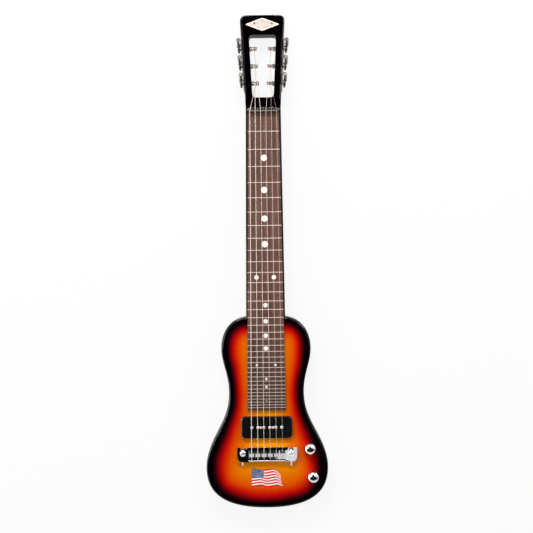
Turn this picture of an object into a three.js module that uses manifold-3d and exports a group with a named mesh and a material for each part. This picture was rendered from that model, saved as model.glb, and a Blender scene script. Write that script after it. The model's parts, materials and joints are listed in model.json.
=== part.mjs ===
// A six-string lap steel guitar lying on its back, head towards +Y and strings facing +Z.
// Lengths are in millimetres. The origin lies under the middle of the guitar, on the surface
// that it rests on. The bass side is at -X and the treble side, with the knobs, at +X.

import * as THREE from "three";
import { mergeVertices } from "three/addons/utils/BufferGeometryUtils.js";
import Module from "manifold-3d";

const wasm = await Module();
wasm.setup();

// Driving dimensions
const SCALE_LENGTH = 571.5;
const HEAD_LENGTH = 167.3;
const TAIL_LENGTH = 94.2;
const BODY_THICK = 40;
const STRING_LIFT = 13;
const STRING_COUNT = 6;

// Clearances and the overrun of a cutter past what it cuts
const SEAT_GAP = 0.3;
const RUN_GAP = 0.3;
const OVERRUN = 5;
const MERGE_TOLERANCE = 0.0001;

// Counts of sides for round pieces
const ROUND_SIDES = 10;
const SMALL_SIDES = 8;
const HOLE_SIDES = 6;
const HEX_SIDES = 6;
const POT_SIDES = 12;
const KNOB_SIDES = 16;

// Stations along the guitar
const TOTAL_LENGTH = HEAD_LENGTH + SCALE_LENGTH + TAIL_LENGTH;
const HEAD_TOP_Y = TOTAL_LENGTH / 2;
const TAIL_Y = -TOTAL_LENGTH / 2;
const NUT_Y = HEAD_TOP_Y - HEAD_LENGTH;
const BRIDGE_Y = NUT_Y - SCALE_LENGTH;
const STRING_Z = BODY_THICK + STRING_LIFT;

// Body outline
const UPPER_BOUT_HALF = 75.5;
const WAIST_HALF = 63.1;
const LOWER_BOUT_HALF = 102.6;
const SHOULDER_AHEAD = 228;
const UPPER_BOUT_AHEAD = 174.8;
const WAIST_AHEAD = 101.2;
const LOWER_BOUT_BEHIND = 26.5;
const BODY_EDGE = 4;
const SHOULDER_Y = BRIDGE_Y + SHOULDER_AHEAD;
const UPPER_BOUT_Y = BRIDGE_Y + UPPER_BOUT_AHEAD;
const WAIST_Y = BRIDGE_Y + WAIST_AHEAD;
const LOWER_BOUT_Y = BRIDGE_Y - LOWER_BOUT_BEHIND;
const SHOULDER_SHARES = [0.82, 0.085, 0.35];
const WAIST_SHARES = [0.335, 0.405];
const FLARE_SHARES = [0.442, 0.383];
const TAIL_SHARES = [0.59, 0.755];

// Neck and headstock
const NECK_BACK_Z = 10;
const NECK_NUT_HALF = 29.5;
const NECK_HEEL_HALF = 33;
const HEEL_DEPTH = 60;
const NECK_EDGE = 1.5;
const HEAD_THICK = 22;
const HEAD_TOP_HALF = 38.6;
const HEAD_CORNER = 11.5;
const HEAD_EDGE = 2.5;
const RAMP_LENGTH = 16;
const HEAD_FACE_Z = NECK_BACK_Z + HEAD_THICK;

// Window in the headstock
const WINDOW_TOP_DROP = 34.1;
const WINDOW_LENGTH = 105.9;
const WINDOW_TOP_HALF = 23.1;
const WINDOW_LOW_HALF = 17.9;
const WINDOW_CORNER = 6;

// Fretboard
const BOARD_THICK = 5;
const BOARD_NUT_HALF = 26.1;
const BOARD_END_HALF = 32.2;
const FRET_COUNT = 35;
const FRETS_PER_OCTAVE = 12;
const SLOT_WIDTH = 1;
const SLOT_DEPTH = 0.8;

// Nut bar
const NUT_HALF = 24.6;
const NUT_DEPTH = 8.5;
const NUT_WALL = 2;
const NUT_BASE = 2.4;
const NUT_RISE = 0.5;
const NUT_EAR_RADIUS = 2.9;
const NUT_EAR_HEIGHT = 4.2;
const NUT_EAR_X = 24;
const NUT_SCREW_RADIUS = 1.3;
const NUT_SCREW_HEAD = 2.2;
const NUT_SCREW_HEAD_HEIGHT = 1;
const NUT_SCREW_LENGTH = 14;

// Strings, from the treble side to the bass side
const WIRE_DIAMETERS = [0.36, 0.46, 0.62, 0.82, 1.06, 1.32];
const NUT_SPREAD = 44.6;
const BRIDGE_SPREAD = 51.8;
const WIRE_SIDES = 6;
const LOOP_STEPS = 18;
const LOOP_COUNT = 2;
const TURN_GAP = 0.5;
const BALL_RADIUS = 1.75;
const BALL_LENGTH = 3;

// Nameplate
const PLATE_HALF_WIDTH = 29.4;
const PLATE_HALF_HEIGHT = 11.1;
const PLATE_THICK = 1.4;
const PLATE_RIM = 1.8;
const PLATE_PANEL_DEPTH = 0.5;
const PLATE_TIP = 3;
const PLATE_TOP_DROP = 16.7;

// Tuners, sized by the gear's module
const GEAR_MODULE = 0.75;
const GEAR_TEETH = 14;
const GEAR_THICK = 3.4;
const GEAR_HUB_RADIUS = 2.6;
const GEAR_HUB_LENGTH = 0.8;
const WORM_PITCH_RADIUS = 2.6;
const WORM_TURNS = 2;
const WORM_STEPS = 8;
const WORM_SHAFT_RADIUS = 1.6;
const MESH_GAP = 0.25;
const MID_POST_DROP = 86;
const POST_PITCH = 29.4;
const POST_Z = NECK_BACK_Z + HEAD_THICK / 2;
const POST_RADIUS = 2.6;
const POST_NECK_RADIUS = 2.3;
const POST_REACH = 12.7;
const COLLAR_RADIUS = 4.6;
const COLLAR_LENGTH = 5.6;
const STRAP_THICK = 1.2;
const STRAP_HEIGHT = 14;
const STRAP_PAST_POST = 12.5;
const LUG_THICK = 1.2;
const LUG_HALF_WIDTH = 3.2;
const LUG_CLEAR = 0.8;
const WORM_STAND = 4.7;
const SHAFT_TAIL = 1.4;
const BUTTON_LENGTH = 17;
const BUTTON_HEIGHT = 9;
const BUTTON_THICK = 7;
const BUTTON_EDGE = 1.6;
const BUTTON_RISE = 13;
const BUTTON_NECK_RADIUS = 2.4;
const BUTTON_CURVE_STEPS = 5;

// Pickup
const PICKUP_SHARE = 0.466;
const COVER_LENGTH = 85.4;
const COVER_WIDTH = 35.7;
const COVER_CORNER = 6;
const COVER_RISE = 8;
const COVER_HEIGHT = 14;
const COVER_WALL = 1.6;
const COVER_EDGE = 1.2;
const POLE_PITCH = 10;
const POLE_RADIUS = 2.5;
const POLE_SHANK = 1.6;
const POLE_RISE = 0.9;
const POLE_HEAD = 2;
const COIL_MARGIN = 2;
const KEEPER_WIDTH = 6;
const KEEPER_HEIGHT = 3;
const MAGNET_WIDTH = 10;
const MAGNET_SPACE = 1;
const CHASSIS_THICK = 1.2;
const PICKUP_SCREW_RADIUS = 1.2;
const PICKUP_SCREW_HEAD = 2;
const PICKUP_SCREW_HEAD_HEIGHT = 1.2;
const PICKUP_SCREW_BITE = 12;
const PICKUP_FLOOR_SPACE = 3;

// Bridge
const BRIDGE_LENGTH = 100.5;
const BRIDGE_FRONT = 9.6;
const BRIDGE_BACK = 14.6;
const SADDLE_SIDE_SPACE = 0.5;
const FRONT_WALL = 5;
const RAIL_RADIUS = 2.9;
const BRIDGE_CLEARANCE = 0.6;
const RAIL_ABOVE_BODY = 6.8;
const TROUGH_ABOVE_BODY = 5;
const FRONT_ABOVE_BODY = 10.4;
const EAR_LAP = 3;
const EAR_CORNER_SHARE = 0.51;
const EAR_FRONT_CORNER = 1.5;
const EAR_LOW = 3.2;
const EAR_HIGH = 9.6;
const STUD_SHARE = 0.514;
const STUD_NECK = 3.2;
const STUD_HEAD = 4.9;
const STUD_DOME = 3.2;
const STUD_SLOT = 1.2;
const STUD_SLOT_DEPTH = 1.6;
const STUD_THREAD = 2.9;
const STUD_LENGTH = 16;
const STUD_FLANGE = 1.4;
const BUSHING_RADIUS = 5.4;
const BUSHING_FLANGE_RADIUS = 6.4;
const BUSHING_FLANGE = 1;
const BUSHING_LENGTH = 20;
const SET_SCREW_RADIUS = 1.5;
const SET_SCREW_OUT = 6.5;
const SET_SCREW_Z = 6.4;

// Profile of a domed top: the shoulder's and the crown's share of the radius, the shoulder's of the rise
const DOME_SHOULDER_SHARE = 0.8;
const DOME_RISE_SHARE = 0.65;
const DOME_TOP_SHARE = 0.4;

// Saddles
const SADDLE_WIDTH = 8.4;
const SADDLE_AHEAD = 2.6;
const SADDLE_BEHIND = 6.4;
const SADDLE_SHOULDER = 4.6;
const SADDLE_TRAVEL = 1.5;
const SADDLE_SCREW_RADIUS = 1.2;
const SADDLE_SCREW_HEAD = 2;
const SADDLE_SCREW_HEAD_HEIGHT = 2;
const SADDLE_SCREW_Z = 7.6;
const SADDLE_SCREW_END_SPACE = 0.6;

// Knobs, potentiometers and the cavity that holds them
const KNOB_RADIUS = 9.4;
const KNOB_HEIGHT = 14;
const KNOB_DOME = 3;
const KNOB_LIFT = 1;
const KNOB_WALL = 2;
const KNOB_HOLLOW_HEIGHT = 4;
const KNOB_TOP_WALL = 2.5;
const VOLUME_SHARE = 0.703;
const VOLUME_AHEAD = 6.1;
const KNOB_STEP_X = 4.8;
const KNOB_STEP_Y = 47.4;
const SHAFT_RADIUS = 3;
const POT_RADIUS = 8.5;
const POT_HEIGHT = 8.5;
const POT_BUSH_RADIUS = 4;
const POT_NUT_RADIUS = 5.6;
const POT_NUT_HEIGHT = 2;
const CAVITY_TOP_WALL = 5;
const CAVITY_SIDE_SPACE = 4.1;
const CAVITY_END_SPACE = 4.3;
const CAVITY_CORNER = 8;
const CAVITY_INSET = 2.4;
const COVER_LAP = 4.5;
const REAR_COVER_THICK = 2;
const REAR_COVER_INSET = 0.3;

// Output jack in the treble edge
const JACK_POCKET_DEPTH = 7.4;
const JACK_PLATE_LENGTH = 34;
const JACK_PLATE_HEIGHT = 24;
const JACK_PLATE_THICK = 1.6;
const JACK_PLATE_CORNER = 4;
const JACK_THREAD_RADIUS = 4.7;
const JACK_BORE_RADIUS = 3.4;
const JACK_NUT_RADIUS = 7;
const JACK_NUT_HEIGHT = 2.4;
const JACK_BODY_RADIUS = 6.5;
const JACK_BODY_LENGTH = 14.3;
const JACK_END_WALL = 2;

// Finishes
const finishes = {
  lacquer: { color: 0x8a2a08, roughness: 0.12, metalness: 0 },
  rosewood: { color: 0x6b4a40, roughness: 0.6, metalness: 0 },
  chrome: { color: 0xd9dbdd, roughness: 0.12, metalness: 1 },
  steel: { color: 0xb9b7b2, roughness: 0.35, metalness: 1 },
  cream: { color: 0xe9e0d8, roughness: 0.4, metalness: 0 },
  blackPlastic: { color: 0x14171a, roughness: 0.35, metalness: 0 },
  copper: { color: 0x7a3b22, roughness: 0.5, metalness: 0.6 },
  wound: { color: 0xb3a898, roughness: 0.4, metalness: 1 },
};

const guitar = new THREE.Group();

function addPiece(name, geometry, finish, parent = guitar) {
  const mesh = new THREE.Mesh(geometry, new THREE.MeshStandardMaterial(finishes[finish]));
  mesh.name = name;
  parent.add(mesh);
  return mesh;
}

// Solids and their cuts

function toSolid(geometry) {
  const bare = geometry.clone();
  bare.deleteAttribute("normal");
  bare.deleteAttribute("uv");
  const merged = mergeVertices(bare, MERGE_TOLERANCE);
  const triVerts = new Uint32Array(merged.index.array);
  const vertProperties = new Float32Array(merged.attributes.position.array);
  return new wasm.Manifold(new wasm.Mesh({ numProp: 3, vertProperties, triVerts }));
}

function toGeometry(solid) {
  const mesh = solid.getMesh();
  const geometry = new THREE.BufferGeometry();
  geometry.setAttribute("position", new THREE.BufferAttribute(mesh.vertProperties, 3));
  geometry.setIndex(new THREE.BufferAttribute(mesh.triVerts, 1));
  geometry.computeVertexNormals();
  return geometry;
}

function joined(...geometries) {
  return toGeometry(geometries.map(toSolid).reduce((whole, part) => whole.add(part)));
}

function cut(geometry, ...cutters) {
  return toGeometry(cutters.map(toSolid).reduce((whole, part) => whole.subtract(part), toSolid(geometry)));
}

// Basic shapes: x, y and z are the middle of a block, and the low end of a rod, lathe or slab

function block(width, depth, height, x, y, z) {
  return new THREE.BoxGeometry(width, depth, height).translate(x, y, z);
}

function lathe(profile, sides = ROUND_SIDES) {
  const points = profile.map(([radius, height]) => new THREE.Vector2(radius, height));
  return new THREE.LatheGeometry(points, sides).rotateX(Math.PI / 2);
}

function rod(radius, length, sides = ROUND_SIDES) {
  return lathe([[0, 0], [radius, 0], [radius, length], [0, length]], sides);
}

function slab(shape, thick, edge = 0, curveSegments = 3, bevelSegments = 1) {
  const bevel = { bevelEnabled: edge > 0, bevelThickness: edge, bevelSize: edge, bevelOffset: -edge };
  const settings = { depth: thick - 2 * edge, bevelSegments, curveSegments, ...bevel };
  return new THREE.ExtrudeGeometry(shape, settings).translate(0, 0, edge);
}

// A closed outline whose corners are rounded, each by its own radius or by one for all
function rounded(corners, radius) {
  const shape = new THREE.Shape();
  corners.forEach(([x, y], i) => {
    const corner = new THREE.Vector2(x, y);
    const before = new THREE.Vector2(...corners[(i + corners.length - 1) % corners.length]);
    const after = new THREE.Vector2(...corners[(i + 1) % corners.length]);
    const own = Array.isArray(radius) ? radius[i] : radius;
    const enter = before.sub(corner).setLength(own).add(corner);
    const leave = after.sub(corner).setLength(own).add(corner);
    if (i === 0) {
      shape.moveTo(enter.x, enter.y);
    } else {
      shape.lineTo(enter.x, enter.y);
    }
    shape.quadraticCurveTo(x, y, leave.x, leave.y);
  });
  shape.closePath();
  return shape;
}

function roundedRect(halfWidth, halfHeight, radius) {
  const corners = [
    [-halfWidth, -halfHeight],
    [halfWidth, -halfHeight],
    [halfWidth, halfHeight],
    [-halfWidth, halfHeight],
  ];
  return rounded(corners, radius);
}

function mix(low, high, share) {
  return low + (high - low) * share;
}

// Body, neck and headstock

function bodyOutline() {
  const shape = new THREE.Shape();
  const shoulderSpan = SHOULDER_Y - UPPER_BOUT_Y;
  const waistSpan = UPPER_BOUT_Y - WAIST_Y;
  const flareSpan = WAIST_Y - LOWER_BOUT_Y;
  const tailSpan = LOWER_BOUT_Y - TAIL_Y;
  const shoulderReach = UPPER_BOUT_HALF - NECK_HEEL_HALF;
  const right = [
    [NECK_HEEL_HALF, SHOULDER_Y],
    [NECK_HEEL_HALF + shoulderReach * SHOULDER_SHARES[0], SHOULDER_Y - shoulderSpan * SHOULDER_SHARES[1]],
    [UPPER_BOUT_HALF, UPPER_BOUT_Y + shoulderSpan * SHOULDER_SHARES[2]],
    [UPPER_BOUT_HALF, UPPER_BOUT_Y],
    [UPPER_BOUT_HALF, UPPER_BOUT_Y - waistSpan * WAIST_SHARES[0]],
    [WAIST_HALF, WAIST_Y + waistSpan * WAIST_SHARES[1]],
    [WAIST_HALF, WAIST_Y],
    [WAIST_HALF, WAIST_Y - flareSpan * FLARE_SHARES[0]],
    [LOWER_BOUT_HALF, LOWER_BOUT_Y + flareSpan * FLARE_SHARES[1]],
    [LOWER_BOUT_HALF, LOWER_BOUT_Y],
    [LOWER_BOUT_HALF, LOWER_BOUT_Y - tailSpan * TAIL_SHARES[0]],
    [LOWER_BOUT_HALF * TAIL_SHARES[1], TAIL_Y],
    [0, TAIL_Y],
  ];
  const left = right.slice(0, -1).reverse().map(([x, y]) => [-x, y]);
  const points = [...right, ...left];
  shape.moveTo(...points[0]);
  for (let i = 1; i < points.length; i += 3) {
    shape.bezierCurveTo(...points[i], ...points[i + 1], ...points[i + 2]);
  }
  shape.closePath();
  return shape;
}

const NUT_BACK_Y = NUT_Y + NUT_DEPTH;
const RAMP_END_Y = NUT_BACK_Y + RAMP_LENGTH;

// Half the headstock's width at a station along the guitar
function headHalf(y) {
  return mix(NECK_NUT_HALF, HEAD_TOP_HALF, (y - NUT_BACK_Y) / (HEAD_TOP_Y - NUT_BACK_Y));
}

const WINDOW_TOP_Y = HEAD_TOP_Y - WINDOW_TOP_DROP;
const WINDOW_LOW_Y = WINDOW_TOP_Y - WINDOW_LENGTH;

// Half the window's width at a station along the guitar
function windowHalf(y) {
  return mix(WINDOW_LOW_HALF, WINDOW_TOP_HALF, (y - WINDOW_LOW_Y) / WINDOW_LENGTH);
}

const HEAD_TAPER = Math.atan((HEAD_TOP_HALF - NECK_NUT_HALF) / (HEAD_TOP_Y - NUT_BACK_Y));
const BORE_LENGTH = HEAD_TOP_HALF;

// The three post stations of a side, counted from the nut
const MID_POST_Y = HEAD_TOP_Y - MID_POST_DROP;

function postY(row) {
  return MID_POST_Y + POST_PITCH * (row - 1);
}

// Carries a tuner's own geometry to its place: x outwards from the middle of the headstock's side
function tunerPlace(side, row) {
  const y = postY(row);
  const turn = new THREE.Matrix4().makeRotationZ(-side * HEAD_TAPER);
  return new THREE.Matrix4().makeTranslation(side * headHalf(y), y, POST_Z).multiply(turn);
}

function neckSolid() {
  const corners = [
    [-NECK_HEEL_HALF, SHOULDER_Y - HEEL_DEPTH],
    [NECK_HEEL_HALF, SHOULDER_Y - HEEL_DEPTH],
    [NECK_HEEL_HALF, SHOULDER_Y],
    [NECK_NUT_HALF, NUT_BACK_Y],
    [headHalf(RAMP_END_Y), RAMP_END_Y],
    [-headHalf(RAMP_END_Y), RAMP_END_Y],
    [-NECK_NUT_HALF, NUT_BACK_Y],
    [-NECK_HEEL_HALF, SHOULDER_Y],
  ];
  const neck = slab(rounded(corners, NECK_EDGE), BODY_THICK - NECK_BACK_Z, NECK_EDGE, 1);
  return neck.translate(0, 0, NECK_BACK_Z);
}

// Takes the wood away above the slope from the nut down to the headstock's face
function rampCutter() {
  const side = new THREE.Shape();
  side.moveTo(NUT_BACK_Y, BODY_THICK);
  side.lineTo(RAMP_END_Y, HEAD_FACE_Z);
  side.lineTo(RAMP_END_Y + OVERRUN, HEAD_FACE_Z);
  side.lineTo(RAMP_END_Y + OVERRUN, BODY_THICK + OVERRUN);
  side.lineTo(NUT_BACK_Y, BODY_THICK + OVERRUN);
  side.closePath();
  return acrossSlab(side, 2 * HEAD_TOP_HALF);
}

// An outline drawn in Y and Z, carried across the guitar and centred on the middle line
function acrossSlab(shape, width, edge = 0, curveSegments = 3) {
  const flat = slab(shape, width, edge, curveSegments).translate(0, 0, -width / 2);
  return flat.rotateY(Math.PI / 2).rotateX(Math.PI / 2);
}

function headSolid() {
  const start = NUT_BACK_Y;
  const corners = [
    [-headHalf(start), start],
    [headHalf(start), start],
    [HEAD_TOP_HALF, HEAD_TOP_Y],
    [-HEAD_TOP_HALF, HEAD_TOP_Y],
  ];
  const shape = rounded(corners, [2 * HEAD_EDGE, 2 * HEAD_EDGE, HEAD_CORNER, HEAD_CORNER]);
  return slab(shape, HEAD_THICK, HEAD_EDGE, 4, 2).translate(0, 0, NECK_BACK_Z);
}

function windowCutter() {
  const corners = [
    [-WINDOW_LOW_HALF, WINDOW_LOW_Y],
    [WINDOW_LOW_HALF, WINDOW_LOW_Y],
    [WINDOW_TOP_HALF, WINDOW_TOP_Y],
    [-WINDOW_TOP_HALF, WINDOW_TOP_Y],
  ];
  return slab(rounded(corners, WINDOW_CORNER), BODY_THICK);
}

function postBores() {
  const bores = [];
  for (const side of [-1, 1]) {
    for (let row = 0; row < 3; row += 1) {
      const bore = rod(POST_NECK_RADIUS + RUN_GAP, BORE_LENGTH).translate(0, 0, -BORE_LENGTH + OVERRUN);
      bores.push(bore.rotateY(side * Math.PI / 2).applyMatrix4(tunerPlace(side, row)));
    }
  }
  return bores;
}

const COVER_TOP_Z = BODY_THICK + COVER_RISE;
const COVER_LOW_Z = COVER_TOP_Z - COVER_HEIGHT;
const KEEPER_TOP_Z = COVER_LOW_Z;
const CHASSIS_Z = KEEPER_TOP_Z - KEEPER_HEIGHT - CHASSIS_THICK - SEAT_GAP;
const PICKUP_FLOOR_Z = CHASSIS_Z - PICKUP_FLOOR_SPACE;

const BOARD_END_Y = fretY(FRET_COUNT + 1);
const PICKUP_Y = mix(BOARD_END_Y, BRIDGE_Y + BRIDGE_FRONT, PICKUP_SHARE);

function pickupCutters() {
  const cutters = [slab(coverOutline(-SEAT_GAP), BODY_THICK).translate(0, PICKUP_Y, PICKUP_FLOOR_Z)];
  for (const side of [-1, 1]) {
    const pilot = rod(PICKUP_SCREW_RADIUS + SEAT_GAP, PICKUP_SCREW_BITE + SEAT_GAP + OVERRUN);
    cutters.push(pilot.translate(side * POLE_PITCH, PICKUP_Y, PICKUP_FLOOR_Z - PICKUP_SCREW_BITE - SEAT_GAP));
  }
  return cutters;
}

const TROUGH_HALF = (BRIDGE_SPREAD + SADDLE_WIDTH) / 2 + SADDLE_SIDE_SPACE;
const STUD_X = mix(TROUGH_HALF, BRIDGE_LENGTH / 2, STUD_SHARE);
const EAR_CORNER = (BRIDGE_LENGTH / 2 - TROUGH_HALF) * EAR_CORNER_SHARE;
const BRIDGE_STUD_Y = BRIDGE_Y;

function studCutters() {
  return [-1, 1].map((side) => {
    const hole = rod(BUSHING_RADIUS + SEAT_GAP, BUSHING_LENGTH + SEAT_GAP + OVERRUN);
    return hole.translate(side * STUD_X, BRIDGE_STUD_Y, BODY_THICK - BUSHING_LENGTH - SEAT_GAP);
  });
}

function nutScrewCutters() {
  return [-1, 1].map((side) => {
    const pilot = rod(NUT_SCREW_RADIUS + SEAT_GAP, NUT_SCREW_LENGTH + OVERRUN);
    const low = BODY_THICK + NUT_EAR_HEIGHT - NUT_SCREW_LENGTH;
    return pilot.translate(side * NUT_EAR_X, NUT_Y + NUT_DEPTH / 2, low);
  });
}

// Places of the two knobs, the volume knob first
const VOLUME_X = LOWER_BOUT_HALF * VOLUME_SHARE;

const knobPlaces = [0, 1].map((step) => {
  return [VOLUME_X + KNOB_STEP_X * step, BRIDGE_Y + VOLUME_AHEAD - KNOB_STEP_Y * step];
});
const CAVITY_X = (knobPlaces[0][0] + knobPlaces[1][0]) / 2 - CAVITY_INSET;
const CAVITY_Y = (knobPlaces[0][1] + knobPlaces[1][1]) / 2;
const CAVITY_HALF_WIDTH = KNOB_STEP_X / 2 + POT_RADIUS + CAVITY_SIDE_SPACE;
const CAVITY_HALF_LENGTH = KNOB_STEP_Y / 2 + POT_RADIUS + CAVITY_END_SPACE;
const CAVITY_TOP_Z = BODY_THICK - CAVITY_TOP_WALL;

function controlCutters() {
  const cavity = roundedRect(CAVITY_HALF_WIDTH, CAVITY_HALF_LENGTH, CAVITY_CORNER);
  const lip = COVER_LAP + SEAT_GAP;
  const recess = roundedRect(CAVITY_HALF_WIDTH + lip, CAVITY_HALF_LENGTH + lip, CAVITY_CORNER + lip);
  const recessDepth = REAR_COVER_INSET + REAR_COVER_THICK + SEAT_GAP;
  const cutters = [
    slab(cavity, CAVITY_TOP_Z + OVERRUN).translate(CAVITY_X, CAVITY_Y, -OVERRUN),
    slab(recess, recessDepth + OVERRUN).translate(CAVITY_X, CAVITY_Y, -OVERRUN),
  ];
  for (const [x, y] of knobPlaces) {
    const bore = rod(POT_BUSH_RADIUS + SEAT_GAP, CAVITY_TOP_WALL + 2 * OVERRUN);
    cutters.push(bore.translate(x, y, CAVITY_TOP_Z - OVERRUN));
  }
  return cutters;
}

const JACK_Y = CAVITY_Y;
const JACK_Z = BODY_THICK / 2;
const JACK_POCKET_X = LOWER_BOUT_HALF - JACK_POCKET_DEPTH;
const JACK_WALL = JACK_POCKET_X - CAVITY_X - CAVITY_HALF_WIDTH;

function jackCutters() {
  const outline = roundedRect(
    JACK_PLATE_HEIGHT / 2 + SEAT_GAP,
    JACK_PLATE_LENGTH / 2 + SEAT_GAP,
    JACK_PLATE_CORNER + SEAT_GAP,
  );
  const pocket = slab(outline, JACK_POCKET_DEPTH + OVERRUN).rotateY(Math.PI / 2);
  const bore = rod(JACK_THREAD_RADIUS + SEAT_GAP, JACK_WALL + 2 * OVERRUN).rotateY(Math.PI / 2);
  return [
    pocket.translate(JACK_POCKET_X, JACK_Y, JACK_Z),
    bore.translate(JACK_POCKET_X - JACK_WALL - OVERRUN, JACK_Y, JACK_Z),
  ];
}

function buildBody() {
  const wood = joined(slab(bodyOutline(), BODY_THICK, BODY_EDGE, 9, 2), neckSolid());
  const sloped = cut(wood, rampCutter());
  const whole = joined(sloped, headSolid());
  const cutters = [
    windowCutter(),
    ...postBores(),
    ...pickupCutters(),
    ...studCutters(),
    ...nutScrewCutters(),
    ...controlCutters(),
    ...jackCutters(),
  ];
  addPiece("body", cut(whole, ...cutters), "lacquer");
}

// Fretboard

function fretY(number) {
  return NUT_Y - SCALE_LENGTH * (1 - 2 ** (-number / FRETS_PER_OCTAVE));
}

function buildFretboard() {
  const corners = [
    [-BOARD_END_HALF, BOARD_END_Y],
    [BOARD_END_HALF, BOARD_END_Y],
    [BOARD_NUT_HALF, NUT_Y - SEAT_GAP],
    [-BOARD_NUT_HALF, NUT_Y - SEAT_GAP],
  ];
  const shape = new THREE.Shape(corners.map(([x, y]) => new THREE.Vector2(x, y)));
  const board = slab(shape, BOARD_THICK).translate(0, 0, BODY_THICK);
  const slots = [];
  for (let number = 1; number <= FRET_COUNT; number += 1) {
    const height = SLOT_DEPTH + OVERRUN;
    const z = BODY_THICK + BOARD_THICK - SLOT_DEPTH + height / 2;
    slots.push(block(3 * BOARD_END_HALF, SLOT_WIDTH, height, 0, fretY(number), z));
  }
  addPiece("fretboard", cut(board, ...slots), "rosewood");
}

// Places of the strings: 1 is the thinnest, on the treble side

function stringX(number, spread) {
  return spread * (0.5 - (number - 1) / (STRING_COUNT - 1));
}

function wireRadius(number) {
  return WIRE_DIAMETERS[number - 1] / 2;
}

// Nut bar

function buildNut() {
  const top = STRING_Z + NUT_RISE;
  const profile = new THREE.Shape();
  profile.moveTo(NUT_Y, BODY_THICK);
  profile.lineTo(NUT_BACK_Y, BODY_THICK);
  profile.lineTo(NUT_BACK_Y, BODY_THICK + NUT_BASE);
  profile.lineTo(NUT_Y + NUT_WALL, BODY_THICK + NUT_BASE);
  profile.lineTo(NUT_Y + NUT_WALL, top - NUT_RISE);
  profile.lineTo(NUT_Y + NUT_WALL / 2, top);
  profile.lineTo(NUT_Y, top - NUT_RISE);
  profile.closePath();
  const earY = NUT_Y + NUT_DEPTH / 2;
  const ears = [-1, 1].map((side) => {
    return rod(NUT_EAR_RADIUS, NUT_EAR_HEIGHT).translate(side * NUT_EAR_X, earY, BODY_THICK);
  });
  const cutters = [-1, 1].map((side) => {
    const hole = rod(NUT_SCREW_RADIUS + SEAT_GAP, NUT_EAR_HEIGHT + 2 * OVERRUN);
    return hole.translate(side * NUT_EAR_X, earY, BODY_THICK - OVERRUN);
  });
  for (let number = 1; number <= STRING_COUNT; number += 1) {
    const room = wireRadius(number) + SEAT_GAP;
    const notch = block(2 * room, 3 * NUT_WALL, OVERRUN + room, stringX(number, NUT_SPREAD), NUT_Y, 0);
    cutters.push(notch.translate(0, 0, STRING_Z + (OVERRUN - room) / 2));
  }
  addPiece("nut", cut(joined(acrossSlab(profile, 2 * NUT_HALF), ...ears), ...cutters), "chrome");
}

function buildNutScrews() {
  const headZ = BODY_THICK + NUT_EAR_HEIGHT + SEAT_GAP;
  for (const [side, name] of [[-1, "bass"], [1, "treble"]]) {
    const screw = lathe([
      [0, -NUT_SCREW_LENGTH + NUT_EAR_HEIGHT],
      [NUT_SCREW_RADIUS, -NUT_SCREW_LENGTH + NUT_EAR_HEIGHT + NUT_SCREW_RADIUS],
      [NUT_SCREW_RADIUS, 0],
      [NUT_SCREW_HEAD, 0],
      [NUT_SCREW_HEAD - NUT_SCREW_HEAD_HEIGHT / 2, NUT_SCREW_HEAD_HEIGHT],
      [0, NUT_SCREW_HEAD_HEIGHT],
    ]);
    const piece = addPiece(`nut_screw_${name}`, screw, "steel");
    piece.position.set(side * NUT_EAR_X, NUT_Y + NUT_DEPTH / 2, headZ);
  }
}

// Nameplate, a bare rhombus with a raised rim

function rhombus(inset) {
  const share = 1 - inset / PLATE_HALF_HEIGHT;
  const halfWidth = PLATE_HALF_WIDTH * share;
  const halfHeight = PLATE_HALF_HEIGHT * share;
  return rounded([[-halfWidth, 0], [0, -halfHeight], [halfWidth, 0], [0, halfHeight]], PLATE_TIP * share);
}

function buildNameplate() {
  const panel = slab(rhombus(PLATE_RIM), PLATE_THICK).translate(0, 0, PLATE_THICK - PLATE_PANEL_DEPTH);
  const plate = addPiece("nameplate", cut(slab(rhombus(0), PLATE_THICK), panel), "cream");
  plate.position.set(0, HEAD_TOP_Y - PLATE_TOP_DROP, HEAD_FACE_Z);
}

// Tuners: a worm on the button's shaft turns the gear on the end of the string post

const GEAR_ADDENDUM_SHARE = 0.9;
const WORM_ADDENDUM_SHARE = 0.75;
const GEAR_PITCH_RADIUS = GEAR_MODULE * GEAR_TEETH / 2;
const GEAR_OUTER_RADIUS = GEAR_PITCH_RADIUS + GEAR_MODULE * GEAR_ADDENDUM_SHARE;
const WORM_PITCH = Math.PI * GEAR_MODULE;
const WORM_OUTER_RADIUS = WORM_PITCH_RADIUS + GEAR_MODULE * WORM_ADDENDUM_SHARE;
const WORM_Y = GEAR_PITCH_RADIUS + WORM_PITCH_RADIUS;
const GEAR_ROOT_RADIUS = WORM_Y - WORM_OUTER_RADIUS - MESH_GAP;
const WORM_LEAD = Math.atan(WORM_PITCH / (2 * Math.PI * WORM_PITCH_RADIUS));
const TOOTH_ROOT_SHARE = 0.3;
const TOOTH_TIP_SHARE = 0.11;
const THREAD_ROOT_SHARE = 0.42;
const THREAD_TIP_SHARE = 0.2;

// The gear's outline, with a gap between teeth on the side of the worm
function gearOutline() {
  const shape = new THREE.Shape();
  const step = 2 * Math.PI / GEAR_TEETH;
  for (let tooth = 0; tooth < GEAR_TEETH; tooth += 1) {
    const middle = step * (tooth + 0.5);
    const corners = [
      [GEAR_ROOT_RADIUS, middle - step * TOOTH_ROOT_SHARE],
      [GEAR_OUTER_RADIUS, middle - step * TOOTH_TIP_SHARE],
      [GEAR_OUTER_RADIUS, middle + step * TOOTH_TIP_SHARE],
      [GEAR_ROOT_RADIUS, middle + step * TOOTH_ROOT_SHARE],
    ];
    corners.forEach(([radius, angle], i) => {
      const x = radius * Math.cos(angle);
      const y = radius * Math.sin(angle);
      if (tooth === 0 && i === 0) {
        shape.moveTo(x, y);
      } else {
        shape.lineTo(x, y);
      }
    });
  }
  shape.closePath();
  return shape;
}

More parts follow.
